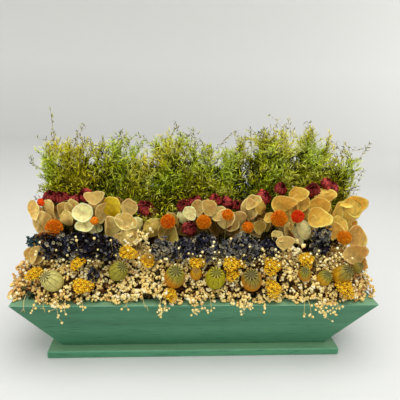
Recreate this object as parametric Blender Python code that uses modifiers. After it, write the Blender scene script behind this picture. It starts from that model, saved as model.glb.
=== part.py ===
"""A dried-flower table centerpiece: rows of flowers that stand in dry foam in a painted wooden box.

Metres, +Z up. The origin is the middle of the base board's underside, X runs along the box and -Y is its
front. Each plant is one piece, with its stem's foot in a blind hole in the foam. The plant tables are in
millimetres: a head is given by the x, y and z of its middle and its radius.
"""

import math
import random

import bmesh
import bpy
from mathutils import Euler, Matrix, Vector
from mathutils.geometry import intersect_point_line

MM = 0.001
GAP = 0.3 * MM  # between pieces that touch

# Box, outside sizes
RIM_LENGTH, RIM_DEPTH = 500 * MM, 160 * MM
FOOT_LENGTH, FOOT_DEPTH = 390 * MM, 90 * MM
BOX_HEIGHT = 85 * MM
BOARD = 16 * MM  # thickness, square to the board's faces
EDGE_BREAK, BASE_EDGE_BREAK = 0.5 * MM, 1 * MM

# Base and floor boards
BASE_LENGTH, BASE_DEPTH, BASE_THICKNESS = 424 * MM, 120 * MM, 11 * MM
FLOOR_THICKNESS = 8 * MM
FLOOR_Z = BASE_THICKNESS + GAP
RIM_Z = BASE_THICKNESS + BOX_HEIGHT

# Screws, up through the base board into the floor board
SCREW_X = 120 * MM
SHANK_RADIUS, HEAD_RADIUS, HEAD_HEIGHT = 1.75 * MM, 3.6 * MM, 2.2 * MM
HEAD_SINK = 0.6 * MM
SCREW_TIP_Z, POINT_HEIGHT = 17 * MM, 3.5 * MM
SCREW_SIDES = 12
RECESS_LENGTH, RECESS_WIDTH, RECESS_DEPTH = 4 * MM, 0.9 * MM, 1.2 * MM

# Foam
FOAM_BOTTOM = FLOOR_Z + FLOOR_THICKNESS + GAP
FOAM_TOP = 88 * MM
FOAM_CLEARANCE = 0.8 * MM
HOLE_CLEARANCE = 1.5 * GAP  # round a stem's foot

# Stems and branches: a stem's end and a branch's two ends as shares of the stem's foot radius
STEM_SIDES, BRANCH_SIDES = 5, 4
STEM_TAPER, BRANCH_START, BRANCH_END = 0.9, 0.75, 0.6

# Where each row of plants stands: the depth of its feet, and how high a foot lies
FERN_Y, ROSE_Y, LUNARIA_Y, GLOBE_Y, STATICE_Y, YARROW_Y, POD_Y = 34, 18, 4, -8, -19, -29, -37
FRINGE_Y = 43
FOOT_Z, FRINGE_FOOT_Z = 58, 68
END_LEAN = 0.86  # a foot's x as a share of its heads' mean x, so that the ends of a row fan out
FORK_LEAN = 0.75  # how far a fork lies from above its foot, at 0, towards below its heads, at 1

# Fern: x of each bunch's plume and the height of its tips
FERNS = [(-204, 296), (-137, 296), (-69, 306), (-5, 298), (66, 306), (133, 330), (201, 302)]
PLUME_Y, PLUME_BOTTOM, PLUME_BELOW_TIPS = 38, 108, 18
PLUME_HALF_WIDTH, PLUME_HALF_DEPTH, PLUME_SIDES, PLUME_RINGS = 30, 13, 8, 6
TIP_OFFSETS = [(-19, 4, -12), (-2, -3, 0), (17, 3, -7)]  # x, y and height of each tip
TIP_RADIUS, TIP_END_RADIUS, TIP_ROOT = 7, 1, 0.6  # TIP_ROOT is where a tip starts, as a share of its offset
FERN_STEM_RADIUS = 2.2
FERN_FORK_LEAN, FERN_FORK_IN_PLUME = 0.98, 16  # share of the plume's x, and height inside the plume
PLUME_CORES = (-0.55, 0, 0.55)  # upright rods that stand for a plume when room is sought, across its width

ROSEBUDS = [
    [(-215, 9, 222, 8), (-194, 11, 217, 9), (-165, 11, 226, 10)],
    [(-80, 11, 209, 10)],
    [(-20, 12, 212, 10), (-14, 2, 189, 8)],
    [(24, 11, 221, 8), (40, 11, 216, 8), (57, 10, 212, 8)],
    [(95, 12, 226, 11), (120, 10, 236, 9)],
    [(170, 12, 235, 11), (189, 13, 246, 8), (202, 11, 239, 10)],
]

# Honesty discs: x, y, z, width, height, then turn about Z and lean about X in degrees
LUNARIA = [
    [
        (-230, -10, 205, 22, 18, 20, 40),
        (-221, -14, 189, 24, 24, 5, 10),
        (-220, -24, 170, 20, 26, 35, 0),
        (-210, -5, 211, 20, 27, -15, -5),
        (-180, -4, 211, 22, 26, 15, -8),
        (-187, -10, 193, 20, 20, 0, 10),
    ],
    [
        (-166, -13, 202, 30, 24, -5, 20),
        (-160, -17, 184, 26, 20, 10, 30),
        (-149, -5, 221, 28, 16, 10, 30),
        (-139, -9, 205, 20, 26, 35, -10),
        (-133, -16, 180, 26, 28, 72, 0),
    ],
    [
        (-126, -3, 212, 22, 22, -20, 0),
        (-99, -4, 211, 21, 17, 15, 10),
        (-114, -13, 195, 31, 24, 0, 15),
        (-100, -26, 171, 27, 21, -8, 25),
        (-89, -14, 185, 18, 16, 40, 0),
    ],
    [(-64, -15, 181, 31, 23, 8, 25), (-36, -8, 191, 18, 26, 30, 0), (-14, -12, 204, 19, 20, -10, 10)],
    [
        (8, -7, 212, 18, 22, 30, 5),
        (36, -12, 190, 22, 20, -20, 15),
        (56, -9, 196, 23, 25, 12, 0),
        (72, -6, 211, 24, 29, -8, 0),
    ],
    [
        (93, -6, 212, 20, 24, 45, 0),
        (116, -4, 219, 26, 22, 12, 10),
        (87, -18, 178, 22, 18, -10, 25),
        (117, -32, 168, 20, 19, 10, 10),
    ],
    [
        (150, -20, 184, 23, 30, -15, 5),
        (142, 0, 230, 21, 18, 0, 20),
        (171, -9, 210, 36, 36, 5, 8),
        (184, -3, 232, 26, 18, -5, 25),
    ],
    [
        (202, -7, 211, 20, 25, 35, 0),
        (226, -8, 210, 32, 32, -8, 5),
        (230, -22, 176, 24, 29, -20, 0),
        (192, -20, 181, 20, 23, 20, 5),
        (225, -36, 154, 32, 26, -10, 20),
    ],
]
DISC_THICKNESS, DISC_SIDES = 1.2, 9
DISC_SEAT = 2.5  # how far a branch's end lies inside its disc's rim
LUNARIA_STEM, LUNARIA_DROP = 1.2, 22
LUNARIA_FORK_Y, LUNARIA_FORK_LEAN = -1, 0.96
# Balls that stand for a disc when room is sought: one in its middle, and two as shares of its half size
DISC_MIDDLE_RADIUS, DISC_CORES, DISC_CORE_RADIUS = 4, (-0.6, 0.6), 0.45

GLOBES = [
    [(-200, -24, 181, 10)],
    [(-150, -27, 190, 7)],
    [(-45, -24, 188, 9)],
    [(5, -24, 192, 10), (36, -28, 204, 7), (68, -26, 183, 7)],
    [(113, -22, 196, 10), (139, -24, 205, 9)],
    [(209, -30, 172, 9)],
]

# Pods also have a lean of their crown, in degrees to the right; all of them lean forward alike
PODS = [
    [(-195, -66, 125, 13, -35)],
    [(-110, -63, 138, 12, 35)],
    [(-35, -64, 130, 13, 5)],
    [(20, -66, 129, 13, 0)],
    [(70, -66, 126, 13, -10)],
    [(145, -62, 134, 9, -10), (172, -65, 126, 9, 10)],
    [(200, -60, 140, 10, 25), (225, -54, 139, 9, 15)],
]
POD_FORWARD_LEAN = 25

YARROW = [
    [(-219, -60, 132, 9), (-164, -56, 146, 8), (-155, -74, 122, 10)],
    [(-98, -48, 158, 10), (-72, -50, 146, 8)],
    [(-5, -56, 147, 8), (-40, -80, 106, 8), (45, -55, 146, 11)],
    [(100, -55, 142, 11), (99, -76, 113, 11)],
    [(150, -50, 149, 10), (199, -76, 116, 11)],
]

# Statice and gypsophila fill the room that is left: lowest and highest x, y and z of their tufts' middles
STATICE = [
    (-240, -185, -46, -32, 145, 172),
    (-185, -110, -46, -32, 142, 168),
    (-75, 0, -46, -32, 142, 170),
    (5, 85, -46, -32, 142, 172),
    (160, 190, -42, -30, 140, 190),
]
STATICE_TUFTS, STATICE_RADII = 4, (9, 13)
FRINGES = [
    (-241, -165, -78, -44, 107, 152),
    (-150, -20, -78, -44, 107, 148),
    (-10, 100, -78, -44, 107, 148),
    (105, 241, -78, -44, 107, 148),
    (-238, -20, 54, 76, 107, 140),
    (20, 238, 54, 76, 107, 140),
]
FRINGE_TUFTS, FRINGE_RADII = 7, (9, 14)
STATICE_FORK, FRINGE_FORK = (-31, 122), (53, 101)  # y and z of the forks, y on the fringe's own side
TUFTED_STEM, TUFTED_FORK_LEAN = 1.3, 0.95
TUFT_TRIES, BRANCH_STEPS = 400, 12  # tufts tried for each plant, and steps along a branch that are tested
TUFT_SIDES, TUFT_RINGS = 5, 4
TUFT_OVER_RIM, TUFT_CORE = 1, 0.9  # least height over the rim, and the share of a tuft that others avoid
HEAD_SIDES = 7
SEED = 7

taken = []  # (one end, other end, radius) of every rod and ball placed so far


def main():
    for item in list(bpy.data.objects):
        bpy.data.objects.remove(item)
    whole = add_collection("floral_table_centerpiece")
    cutters = add_collection("cutters")
    cutters.hide_render = True
    paint = add_material("green_paint", (0.06, 0.22, 0.14), 0.55)

    base = add_box(whole, paint)
    stems = add_plants(whole)
    add_foam(whole, cutters, stems)
    add_screws(whole, cutters, base)


def add_collection(name):
    made = bpy.data.collections.new(name)
    bpy.context.scene.collection.children.link(made)
    return made


def add_material(name, colour, roughness, metallic=0.0):
    made = bpy.data.materials.new(name)
    made.use_nodes = True
    shader = made.node_tree.nodes["Principled BSDF"]
    shader.inputs["Base Color"].default_value = (*colour, 1)
    shader.inputs["Roughness"].default_value = roughness
    shader.inputs["Metallic"].default_value = metallic
    return made


# ---- box ----


def outside(z):
    """Half the length and half the depth of the box's outside at a height."""
    rise = (z - BASE_THICKNESS) / BOX_HEIGHT
    half_length = (FOOT_LENGTH + rise * (RIM_LENGTH - FOOT_LENGTH)) / 2
    half_depth = (FOOT_DEPTH + rise * (RIM_DEPTH - FOOT_DEPTH)) / 2
    return half_length, half_depth


def level_thickness(top, foot):
    """A leaning board's thickness measured level, from how far it leans."""
    return BOARD * math.hypot(1, (top - foot) / 2 / BOX_HEIGHT)


END_LEVEL = level_thickness(RIM_LENGTH, FOOT_LENGTH)
SIDE_LEVEL = level_thickness(RIM_DEPTH, FOOT_DEPTH)


def inside(z, clearance):
    """Half the length and half the depth of the box's inside at a height, less a clearance."""
    half_length, half_depth = outside(z)
    return half_length - END_LEVEL - clearance, half_depth - SIDE_LEVEL - clearance


def add_block(collection, name, material, corner, edge_break=0.0):
    """A cube whose corner on each side (x, y, z, each -1 or 1) is moved to where corner says."""
    shape = bmesh.new()
    for vert in bmesh.ops.create_cube(shape, size=2)["verts"]:
        vert.co = corner(*(round(side) for side in vert.co))
    block = add_object(collection, name, shape, material)
    if edge_break:
        bevel = block.modifiers.new("edge_break", "BEVEL")
        bevel.width = edge_break
    return block


def add_object(collection, name, shape, material=None):
    """Turns a bmesh into an object and frees it."""
    mesh = bpy.data.meshes.new(name)
    shape.to_mesh(mesh)
    shape.free()
    if material:
        mesh.materials.append(material)
    made = bpy.data.objects.new(name, mesh)
    collection.objects.link(made)
    return made


def add_box(whole, paint):
    heights = {-1: FLOOR_Z, 1: RIM_Z}

    def side_corner(front):
        """The front board (-1) or back board (1), mitred to the ends."""

        def corner(x, y, z):
            half_length, half_depth = outside(heights[z])
            inner = y != front
            return Vector((
                x * (half_length - inner * END_LEVEL - GAP / 2),
                front * (half_depth - inner * SIDE_LEVEL),
                heights[z],
            ))

        return corner

    def end_corner(end):
        """The left end board (-1) or right end board (1), mitred to the front and back."""

        def corner(x, y, z):
            half_length, half_depth = outside(heights[z])
            inner = x != end
            return Vector((
                end * (half_length - inner * END_LEVEL),
                y * (half_depth - inner * SIDE_LEVEL - GAP / 2),
                heights[z],
            ))

        return corner

    def floor_corner(x, y, z):
        height = FLOOR_Z + FLOOR_THICKNESS * (z > 0)
        half_length, half_depth = inside(height, GAP)
        return Vector((x * half_length, y * half_depth, height))

    def base_corner(x, y, z):
        return Vector((x * BASE_LENGTH / 2, y * BASE_DEPTH / 2, BASE_THICKNESS * (z > 0)))

    add_block(whole, "front_panel", paint, side_corner(-1), EDGE_BREAK)
    add_block(whole, "back_panel", paint, side_corner(1), EDGE_BREAK)
    add_block(whole, "left_end_panel", paint, end_corner(-1), EDGE_BREAK)
    add_block(whole, "right_end_panel", paint, end_corner(1), EDGE_BREAK)
    bare_wood = add_material("bare_pine", (0.55, 0.38, 0.22), 0.7)
    floor = add_block(whole, "box_floor", bare_wood, floor_corner)
    base = add_block(whole, "base_board", paint, base_corner, BASE_EDGE_BREAK)
    return base, floor


def add_screws(whole, cutters, boards):
    """Two countersunk screws, their clearance in the boards, and a cross recess in each head."""
    steel = add_material("zinc_plated_steel", (0.6, 0.6, 0.58), 0.35, 1.0)
    profile = [
        (0, SCREW_TIP_Z),
        (SHANK_RADIUS, SCREW_TIP_Z - POINT_HEIGHT),
        (SHANK_RADIUS, HEAD_SINK + HEAD_HEIGHT),
        (HEAD_RADIUS, HEAD_SINK),
        (0, HEAD_SINK),
    ]
    room = [
        (0, SCREW_TIP_Z + GAP),
        (SHANK_RADIUS + GAP, SCREW_TIP_Z - POINT_HEIGHT),
        (SHANK_RADIUS + GAP, HEAD_SINK + HEAD_HEIGHT + GAP),
        (HEAD_RADIUS + GAP, HEAD_SINK),
        (HEAD_RADIUS + GAP, -GAP),
        (0, -GAP),
    ]
    for side, word in ((-1, "left"), (1, "right")):
        place = Matrix.Translation((side * SCREW_X, 0, 0))
        screw = add_turned(whole, f"base_screw_{word}", profile, SCREW_SIDES, place)
        screw.data.materials.append(steel)
        hole = add_turned(cutters, f"screw_hole_{word}", room, SCREW_SIDES, place)
        hide(hole)
        for board in boards:
            cut(board, hole)
        recess = bmesh.new()
        arm_size = (RECESS_LENGTH, RECESS_WIDTH, 2 * RECESS_DEPTH, 1)
        for turn in (0, math.pi / 2):
            arm = place @ Matrix.Rotation(turn, 4, "Z") @ Matrix.Diagonal(arm_size)
            bmesh.ops.create_cube(recess, size=1, matrix=arm)
        cross = add_object(cutters, f"screw_recess_{word}", recess)
        hide(cross)
        cut(screw, cross, self_crossing=True)


def hide(cutter):
    cutter.hide_render = True
    cutter.display_type = "WIRE"


def cut(part, cutter, self_crossing=False):
    hollow = part.modifiers.new(cutter.name, "BOOLEAN")
    hollow.operation = "DIFFERENCE"
    hollow.object = cutter
    hollow.use_self = self_crossing


# ---- foam ----


def add_foam(whole, cutters, stems):
    """Two foam blocks end to end, with a blind hole round each stem's foot."""
    foam = add_material("dry_foam", (0.16, 0.3, 0.16), 0.95)
    for side, word in ((-1, "left"), (1, "right")):

        def corner(x, y, z, side=side):
            height = FOAM_TOP if z > 0 else FOAM_BOTTOM
            half_length, half_depth = inside(height, FOAM_CLEARANCE)
            outer = x == side
            return Vector((side * (half_length if outer else GAP / 2), y * half_depth, height))

        block = add_block(whole, f"foam_block_{word}", foam, corner)
        for name, foot, crotch, radius in stems:
            if foot.x * side < 0:
                continue
            reach = (crotch - foot).normalized() * GAP
            shape = rod(foot - reach, crotch, radius + HOLE_CLEARANCE, radius + HOLE_CLEARANCE)
            hole = add_object(cutters, f"hole_of_{name}", shape)
            hide(hole)
            cut(block, hole)


# ---- shapes that plants are made of ----


def rod(start, end, radius, end_radius, sides=STEM_SIDES):
    """A closed tapering rod between two points, as a bmesh."""
    along = end - start
    place = Matrix.Translation((start + end) / 2) @ along.to_track_quat("Z", "Y").to_matrix().to_4x4()
    shape = bmesh.new()
    bmesh.ops.create_cone(
        shape,
        cap_ends=True,
        segments=sides,
        radius1=radius,
        radius2=end_radius,
        depth=along.length,
        matrix=place,
    )
    return shape


def add_turned(collection, name, profile, sides, place):
    """A body of revolution about its own Z. profile runs down its outer side as (radius, height)."""
    mesh = bpy.data.meshes.new(name)
    edges = [(i, i + 1) for i in range(len(profile) - 1)]
    mesh.from_pydata([(radius, 0, height) for radius, height in profile], edges, [])
    made = bpy.data.objects.new(name, mesh)
    made.matrix_world = place
    collection.objects.link(made)
    turn = made.modifiers.new("turn", "SCREW")
    turn.steps = turn.render_steps = sides
    turn.use_merge_vertices = True
    turn.merge_threshold = GAP / 100
    return made


def facing(middle, axis, scale=1.0):
    """The matrix that puts a head's middle at a point, with its own Z along axis."""
    turn = Vector(axis).to_track_quat("Z", "Y").to_matrix().to_4x4()
    return Matrix.Translation(middle) @ turn @ Matrix.Scale(scale, 4)


ROSEBUD_PROFILE = [(0, 1.2), (0.6, 0.9), (1, 0), (0.6, -0.85), (0, -1.1)]
POD_PROFILE = [
    (0, 1.12),
    (0.62, 1.18),
    (0.66, 1.04),
    (0.45, 0.9),
    (0.88, 0.5),
    (1, 0),
    (0.78, -0.55),
    (0.35, -0.92),
    (0, -1.02),
]
YARROW_PROFILE = [(0, 0.45), (0.6, 0.36), (1, 0), (0.65, -0.3), (0, -0.5)]


def turned_head(profile, sides):
    """A maker of heads of one turned form, for add_plant."""

    def make(helpers, middle, radius, axis):
        return add_turned(helpers, "head", profile, sides, facing(middle, axis, radius))

    return make


def globe_head(helpers, middle, radius, axis):
    shape = bmesh.new()
    bmesh.ops.create_icosphere(shape, subdivisions=2, radius=1, matrix=facing(middle, axis, radius))
    return add_object(helpers, "head", shape)


def tuft_head(helpers, middle, radius, axis):
    shape = bmesh.new()
    place = facing(middle, axis, radius)
    bmesh.ops.create_uvsphere(shape, u_segments=TUFT_SIDES, v_segments=TUFT_RINGS, radius=1, matrix=place)
    return add_object(helpers, "head", shape)


# ---- plants ----


def add_plant(whole, name, material, foot, crotch, radius, heads):
    """One solid plant: a stem from foot to crotch, and a branch to each head.

    heads lists (make, middle, radius, axis, seat), where seat is where the branch ends inside the head, or
    None for a head that grows straight from the crotch.
    """
    helpers = bpy.data.collections.new("helpers")
    bpy.context.scene.collection.children.link(helpers)
    shapes = [add_object(helpers, "stem", rod(foot, crotch, radius, STEM_TAPER * radius))]
    claim(foot, crotch, radius)
    for number, (make, middle, size, axis, seat) in enumerate(heads, 1):
        if seat:
            fork = crotch - (crotch - foot).normalized() * radius * number
            branch = rod(fork, seat, BRANCH_START * radius, BRANCH_END * radius, BRANCH_SIDES)
            shapes.append(add_object(helpers, "branch", branch))
            claim(fork, seat, BRANCH_START * radius)
        shapes.append(make(helpers, middle, size, axis))
        claim(middle, middle, size)
    stem, *others = shapes
    for other in others:
        join = stem.modifiers.new("join", "BOOLEAN")
        join.operation = "UNION"
        join.object = other
    bpy.context.view_layer.update()
    mesh = bpy.data.meshes.new_from_object(stem.evaluated_get(bpy.context.evaluated_depsgraph_get()))
    for shape in shapes:
        bpy.data.objects.remove(shape)
    bpy.data.collections.remove(helpers)
    mesh.name = name
    mesh.materials.clear()
    mesh.materials.append(material)
    mesh.transform(Matrix.Translation(-foot))
    mesh.shade_smooth()
    plant = bpy.data.objects.new(name, mesh)
    plant.location = foot
    whole.objects.link(plant)
    return name, foot, crotch, radius


def claim(start, end, radius):
    taken.append((start.copy(), end.copy(), radius))


def is_clear(point, radius):
    """Whether a ball there stays clear of everything placed so far."""
    for start, end, other in taken:
        along = end - start
        near = start
        if along.length > 0:
            share = intersect_point_line(point, start, end)[1]
            near = start + along * min(max(share, 0), 1)
        if (point - near).length < radius + other + 2 * GAP:
            return False
    return True


def row_foot(x, row_y, height=FOOT_Z):
    return Vector((END_LEAN * x, row_y, height)) * MM


def mean_x(heads):
    return sum(head[0] for head in heads) / len(heads)


def add_row(whole, name, material, groups, row_y, *, fork_y, drop, radius, make, seat_depth, axis_of):
    """A row of plants, one for each group of heads.

    A fork lies drop below its group's lowest head. A branch ends seat_depth times the head's radius short of
    the head's middle.
    """
    stems = []
    for number, group in enumerate(groups, 1):
        x = mean_x(group)
        foot = row_foot(x, row_y)
        fork_z = min(head[2] for head in group) - drop
        fork_x = x * (FORK_LEAN + (1 - FORK_LEAN) * END_LEAN)
        fork = Vector((fork_x, fork_y, fork_z)) * MM
        heads = []
        for head in group:
            middle = Vector(head[:3]) * MM
            axis = axis_of(head)
            seat = middle - axis * seat_depth * head[3] * MM
            heads.append((make, middle, head[3] * MM, axis, seat))
        stems.append(add_plant(whole, f"{name}_{number}", material, foot, fork, radius * MM, heads))
    return stems


def upright(head):
    return Vector((0, 0, 1))


def forward_up(head):
    """The axis of a flat yarrow head, which faces up and to the front."""
    return Vector((0, -0.5, 0.87))


def leaning_crown(head):
    """The axis of a pod, which leans to the front and to the side that its table gives."""
    return Euler((math.radians(POD_FORWARD_LEAN), math.radians(head[4]), 0)).to_matrix() @ Vector((0, 0, 1))


def add_ferns(whole, material):
    stems = []
    for number, (x, top) in enumerate(FERNS, 1):
        foot = row_foot(x, FERN_Y)
        fork = Vector((FERN_FORK_LEAN * x, PLUME_Y - 1, PLUME_BOTTOM + FERN_FORK_IN_PLUME)) * MM
        half_height = (top - PLUME_BELOW_TIPS - PLUME_BOTTOM) / 2
        middle = Vector((x, PLUME_Y, PLUME_BOTTOM + half_height)) * MM
        size = Vector((PLUME_HALF_WIDTH, PLUME_HALF_DEPTH, half_height)) * MM
        heads = [(plume_maker(size), middle, PLUME_HALF_DEPTH * MM, None, None)]
        for offset, depth, height in TIP_OFFSETS:
            root = middle + Vector((TIP_ROOT * offset, TIP_ROOT * depth, 0)) * MM
            tip = Vector((x + offset, PLUME_Y + depth, top + height)) * MM
            heads.append((tip_maker(root), tip, 0, None, None))
        radius = FERN_STEM_RADIUS * MM
        stems.append(add_plant(whole, f"fern_bunch_{number}", material, foot, fork, radius, heads))
    return stems


def plume_maker(size):
    """A maker of the flattened egg that a bunch's fine leaves fill."""

    def make(helpers, middle, radius, axis):
        shape = bmesh.new()
        place = Matrix.Translation(middle) @ Matrix.Diagonal((*size, 1))
        bmesh.ops.create_uvsphere(
            shape, u_segments=PLUME_SIDES, v_segments=PLUME_RINGS, radius=1, matrix=place
        )
        half_rod = Vector((0, 0, size.z - size.y))
        for share in PLUME_CORES:
            core = middle + Vector((share * size.x, 0, 0))
            claim(core - half_rod, core + half_rod, size.y)
        return add_object(helpers, "plume", shape)

    return make


def tip_maker(root):
    """A maker of one frond's tip that stands out of the plume."""

    def make(helpers, tip, radius, axis):
        return add_object(helpers, "tip", rod(root, tip, TIP_RADIUS * MM, TIP_END_RADIUS * MM, BRANCH_SIDES))

    return make


def add_lunaria(whole, material):
    stems = []
    for number, group in enumerate(LUNARIA, 1):
        x = mean_x(group)
        foot = row_foot(x, LUNARIA_Y)
        lowest = min(disc[2] for disc in group)
        fork = Vector((LUNARIA_FORK_LEAN * x, LUNARIA_FORK_Y, lowest - LUNARIA_DROP)) * MM
        discs = []
        for disc_x, disc_y, disc_z, width, height, turn, lean in group:
            middle = Vector((disc_x, disc_y, disc_z)) * MM
            frame = Euler((math.radians(90 - lean), 0, math.radians(turn))).to_matrix().to_4x4()
            place = Matrix.Translation(middle) @ frame
            size = Matrix.Diagonal((width / 2 * MM, height / 2 * MM, 1, 1))
            up = place.to_3x3() @ Vector((0, 1, 0))
            seat = middle - up * (height / 2 - DISC_SEAT) * MM
            discs.append((disc_maker(place @ size), middle, DISC_MIDDLE_RADIUS * MM, up, seat))
        radius = LUNARIA_STEM * MM
        stems.append(add_plant(whole, f"lunaria_spray_{number}", material, foot, fork, radius, discs))
    return stems


def disc_maker(place):
    """A maker of one flat oval disc."""

    def make(helpers, middle, radius, axis):
        shape = bmesh.new()
        bmesh.ops.create_cone(
            shape,
            cap_ends=True,
            segments=DISC_SIDES,
            radius1=1,
            radius2=1,
            depth=DISC_THICKNESS * MM,
            matrix=place,
        )
        reach = place.to_scale()
        for share in DISC_CORES:
            across = place.to_3x3() @ Vector((share, 0, 0))
            claim(middle + across, middle + across, DISC_CORE_RADIUS * reach.y)
        return add_object(helpers, "disc", shape)

    return make


def add_tufted(whole, name, material, room, row_y, foot_z, fork, count, radii, rng):
    """A plant whose round tufts fill what is free of its room, each on its own branch from the fork."""
    low_x, high_x, low_y, high_y, low_z, high_z = room
    middle_x = (low_x + high_x) / 2
    foot = row_foot(middle_x, row_y, foot_z)
    fork = Vector((TUFTED_FORK_LEAN * middle_x, *fork)) * MM
    stem_radius = TUFTED_STEM * MM
    heads = []
    for _ in range(TUFT_TRIES):
        middle = Vector((rng.uniform(low_x, high_x), rng.uniform(low_y, high_y), rng.uniform(low_z, high_z)))
        radius = rng.uniform(*radii)
        middle.z = max(middle.z, RIM_Z / MM + radius + TUFT_OVER_RIM)
        middle *= MM
        branch = [fork.lerp(middle, step / BRANCH_STEPS) for step in range(BRANCH_STEPS + 1)]
        if not is_clear(middle, radius * MM) or not all(is_clear(spot, stem_radius) for spot in branch):
            continue
        claim(middle, middle, TUFT_CORE * radius * MM)
        heads.append((tuft_head, middle, radius * MM, middle - fork, middle))
        if len(heads) == count:
            break
    return add_plant(whole, name, material, foot, fork, stem_radius, heads)


def add_plants(whole):
    """Every plant, the places with a table first. Returns each one's name, foot, crotch and radius."""
    fern = add_material("fern_green", (0.2, 0.3, 0.03), 0.7)
    dark_red = add_material("dried_rose", (0.25, 0.02, 0.02), 0.8)
    straw = add_material("honesty_straw", (0.7, 0.5, 0.25), 0.45)
    orange = add_material("globe_orange", (0.6, 0.12, 0.02), 0.8)
    navy = add_material("statice_navy", (0.015, 0.025, 0.06), 0.85)
    pod_green = add_material("pod_green", (0.35, 0.33, 0.12), 0.6)
    gold = add_material("yarrow_gold", (0.65, 0.38, 0.03), 0.85)
    cream = add_material("gypsophila_cream", (0.75, 0.62, 0.42), 0.85)

    stems = add_ferns(whole, fern)
    stems += add_row(
        whole, "rosebud_branch", dark_red, ROSEBUDS, ROSE_Y, fork_y=13, drop=26, radius=1.3,
        make=turned_head(ROSEBUD_PROFILE, HEAD_SIDES), seat_depth=0.8, axis_of=upright,
    )
    stems += add_lunaria(whole, straw)
    stems += add_row(
        whole, "globe_stem", orange, GLOBES, GLOBE_Y, fork_y=-19, drop=26, radius=1.2,
        make=globe_head, seat_depth=0.6, axis_of=upright,
    )
    stems += add_row(
        whole, "poppy_pod", pod_green, PODS, POD_Y, fork_y=-52, drop=26, radius=1.4,
        make=turned_head(POD_PROFILE, HEAD_SIDES), seat_depth=0.7, axis_of=leaning_crown,
    )
    stems += add_row(
        whole, "yarrow_spray", gold, YARROW, YARROW_Y, fork_y=-42, drop=10, radius=1.2,
        make=turned_head(YARROW_PROFILE, HEAD_SIDES), seat_depth=0.25, axis_of=forward_up,
    )
    rng = random.Random(SEED)
    for number, room in enumerate(STATICE, 1):
        name = f"statice_cluster_{number}"
        stems.append(add_tufted(
            whole, name, navy, room, STATICE_Y, FOOT_Z, STATICE_FORK, STATICE_TUFTS, STATICE_RADII, rng
        ))
    for number, room in enumerate(FRINGES, 1):
        side = 1 if room[2] > 0 else -1
        name = f"gypsophila_bunch_{number}"
        fork = (side * FRINGE_FORK[0], FRINGE_FORK[1])
        stems.append(add_tufted(
            whole, name, cream, room, side * FRINGE_Y, FRINGE_FOOT_Z, fork, FRINGE_TUFTS, FRINGE_RADII, rng
        ))
    return stems


main()
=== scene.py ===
"""The looks of the dried-flower table centerpiece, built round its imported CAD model.

The painted box, its screws and the foam keep their CAD shapes and get materials. Each plant's plain
solid is replaced by a detailed piece, made of many small shapes gathered into one mesh. Places in the
tables are in millimetres, in the CAD frame: X along the box, -Y its front, +Z up.
"""

import math
from collections import namedtuple

import bpy
import numpy as np
from mathutils import Matrix, Vector


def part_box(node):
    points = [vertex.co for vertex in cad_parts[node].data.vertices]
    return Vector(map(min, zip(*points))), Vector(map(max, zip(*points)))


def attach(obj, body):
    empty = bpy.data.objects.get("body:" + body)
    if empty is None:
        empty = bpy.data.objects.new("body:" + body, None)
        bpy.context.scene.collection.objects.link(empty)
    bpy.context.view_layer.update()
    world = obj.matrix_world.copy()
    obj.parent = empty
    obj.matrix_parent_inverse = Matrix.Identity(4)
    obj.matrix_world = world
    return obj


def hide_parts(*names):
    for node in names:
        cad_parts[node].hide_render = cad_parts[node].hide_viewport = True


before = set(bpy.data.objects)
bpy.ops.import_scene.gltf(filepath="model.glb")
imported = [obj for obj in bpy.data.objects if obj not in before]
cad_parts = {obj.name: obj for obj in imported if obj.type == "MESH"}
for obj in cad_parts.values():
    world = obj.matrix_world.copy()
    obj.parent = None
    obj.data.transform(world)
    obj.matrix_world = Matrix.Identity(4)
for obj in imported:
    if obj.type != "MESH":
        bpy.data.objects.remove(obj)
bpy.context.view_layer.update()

MM = 0.001
GOLDEN_TURN = math.pi * (3 - math.sqrt(5))
BODY = "root"
NODES = sorted(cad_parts)

# As in the CAD: heights of the rim and the foam, and where the stems stand in it
RIM_Z, FOAM_TOP = 96, 88
ROW_Y = {
    "fern": 34, "rosebud": 18, "lunaria": 4, "globe": -8, "statice": -19, "yarrow": -29, "poppy": -37,
}
FRINGE_Y = 43  # the gypsophila's feet, in front and behind
STEM_FOOT_Z, FRINGE_FOOT_Z = 58, 68
END_LEAN = 0.86  # a foot's x as a share of its heads' mean x

# Heights of the fern hedge's top along X
FERN_TOP = [
    (-236, 258), (-224, 284), (-215, 292), (-199, 281), (-181, 293), (-147, 291), (-138, 286),
    (-104, 300), (-86, 284), (-73, 298), (-60, 289), (-43, 308), (-16, 300), (2, 294), (20, 294),
    (47, 285), (60, 298), (86, 309), (118, 315), (131, 322), (145, 318), (158, 321), (173, 311),
    (184, 299), (198, 297), (214, 290), (230, 284), (242, 262),
]

# Sprigs that leave the hedge, dark at its ends and pale in front of it: foot, tip and tone
SPRIGS = [
    ((-214, 34, 246), (-244, 28, 268), 0.3), ((-212, 34, 196), (-238, 28, 210), 0.35),
    ((226, 34, 262), (254, 30, 302), 0.3), ((228, 34, 240), (250, 28, 262), 0.3),
    ((228, 34, 200), (246, 28, 244), 0.3), ((226, 34, 186), (248, 28, 198), 0.35),
    ((-60, 22, 178), (-68, -6, 208), 0.85), ((-52, 22, 180), (-44, -6, 213), 0.9),
    ((-54, 22, 174), (-53, -10, 201), 0.8), ((-64, 20, 176), (-78, -8, 192), 0.85),
    ((-205, 34, 270), (-211, 32, 337), 0.3),
    ((-46, 22, 186), (-38, -4, 205), 0.8), ((12, 14, 190), (15, -6, 220), 0.95),
    ((20, 12, 196), (32, -10, 206), 0.95), ((-96, 16, 176), (-90, -12, 196), 0.85),
]

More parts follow.
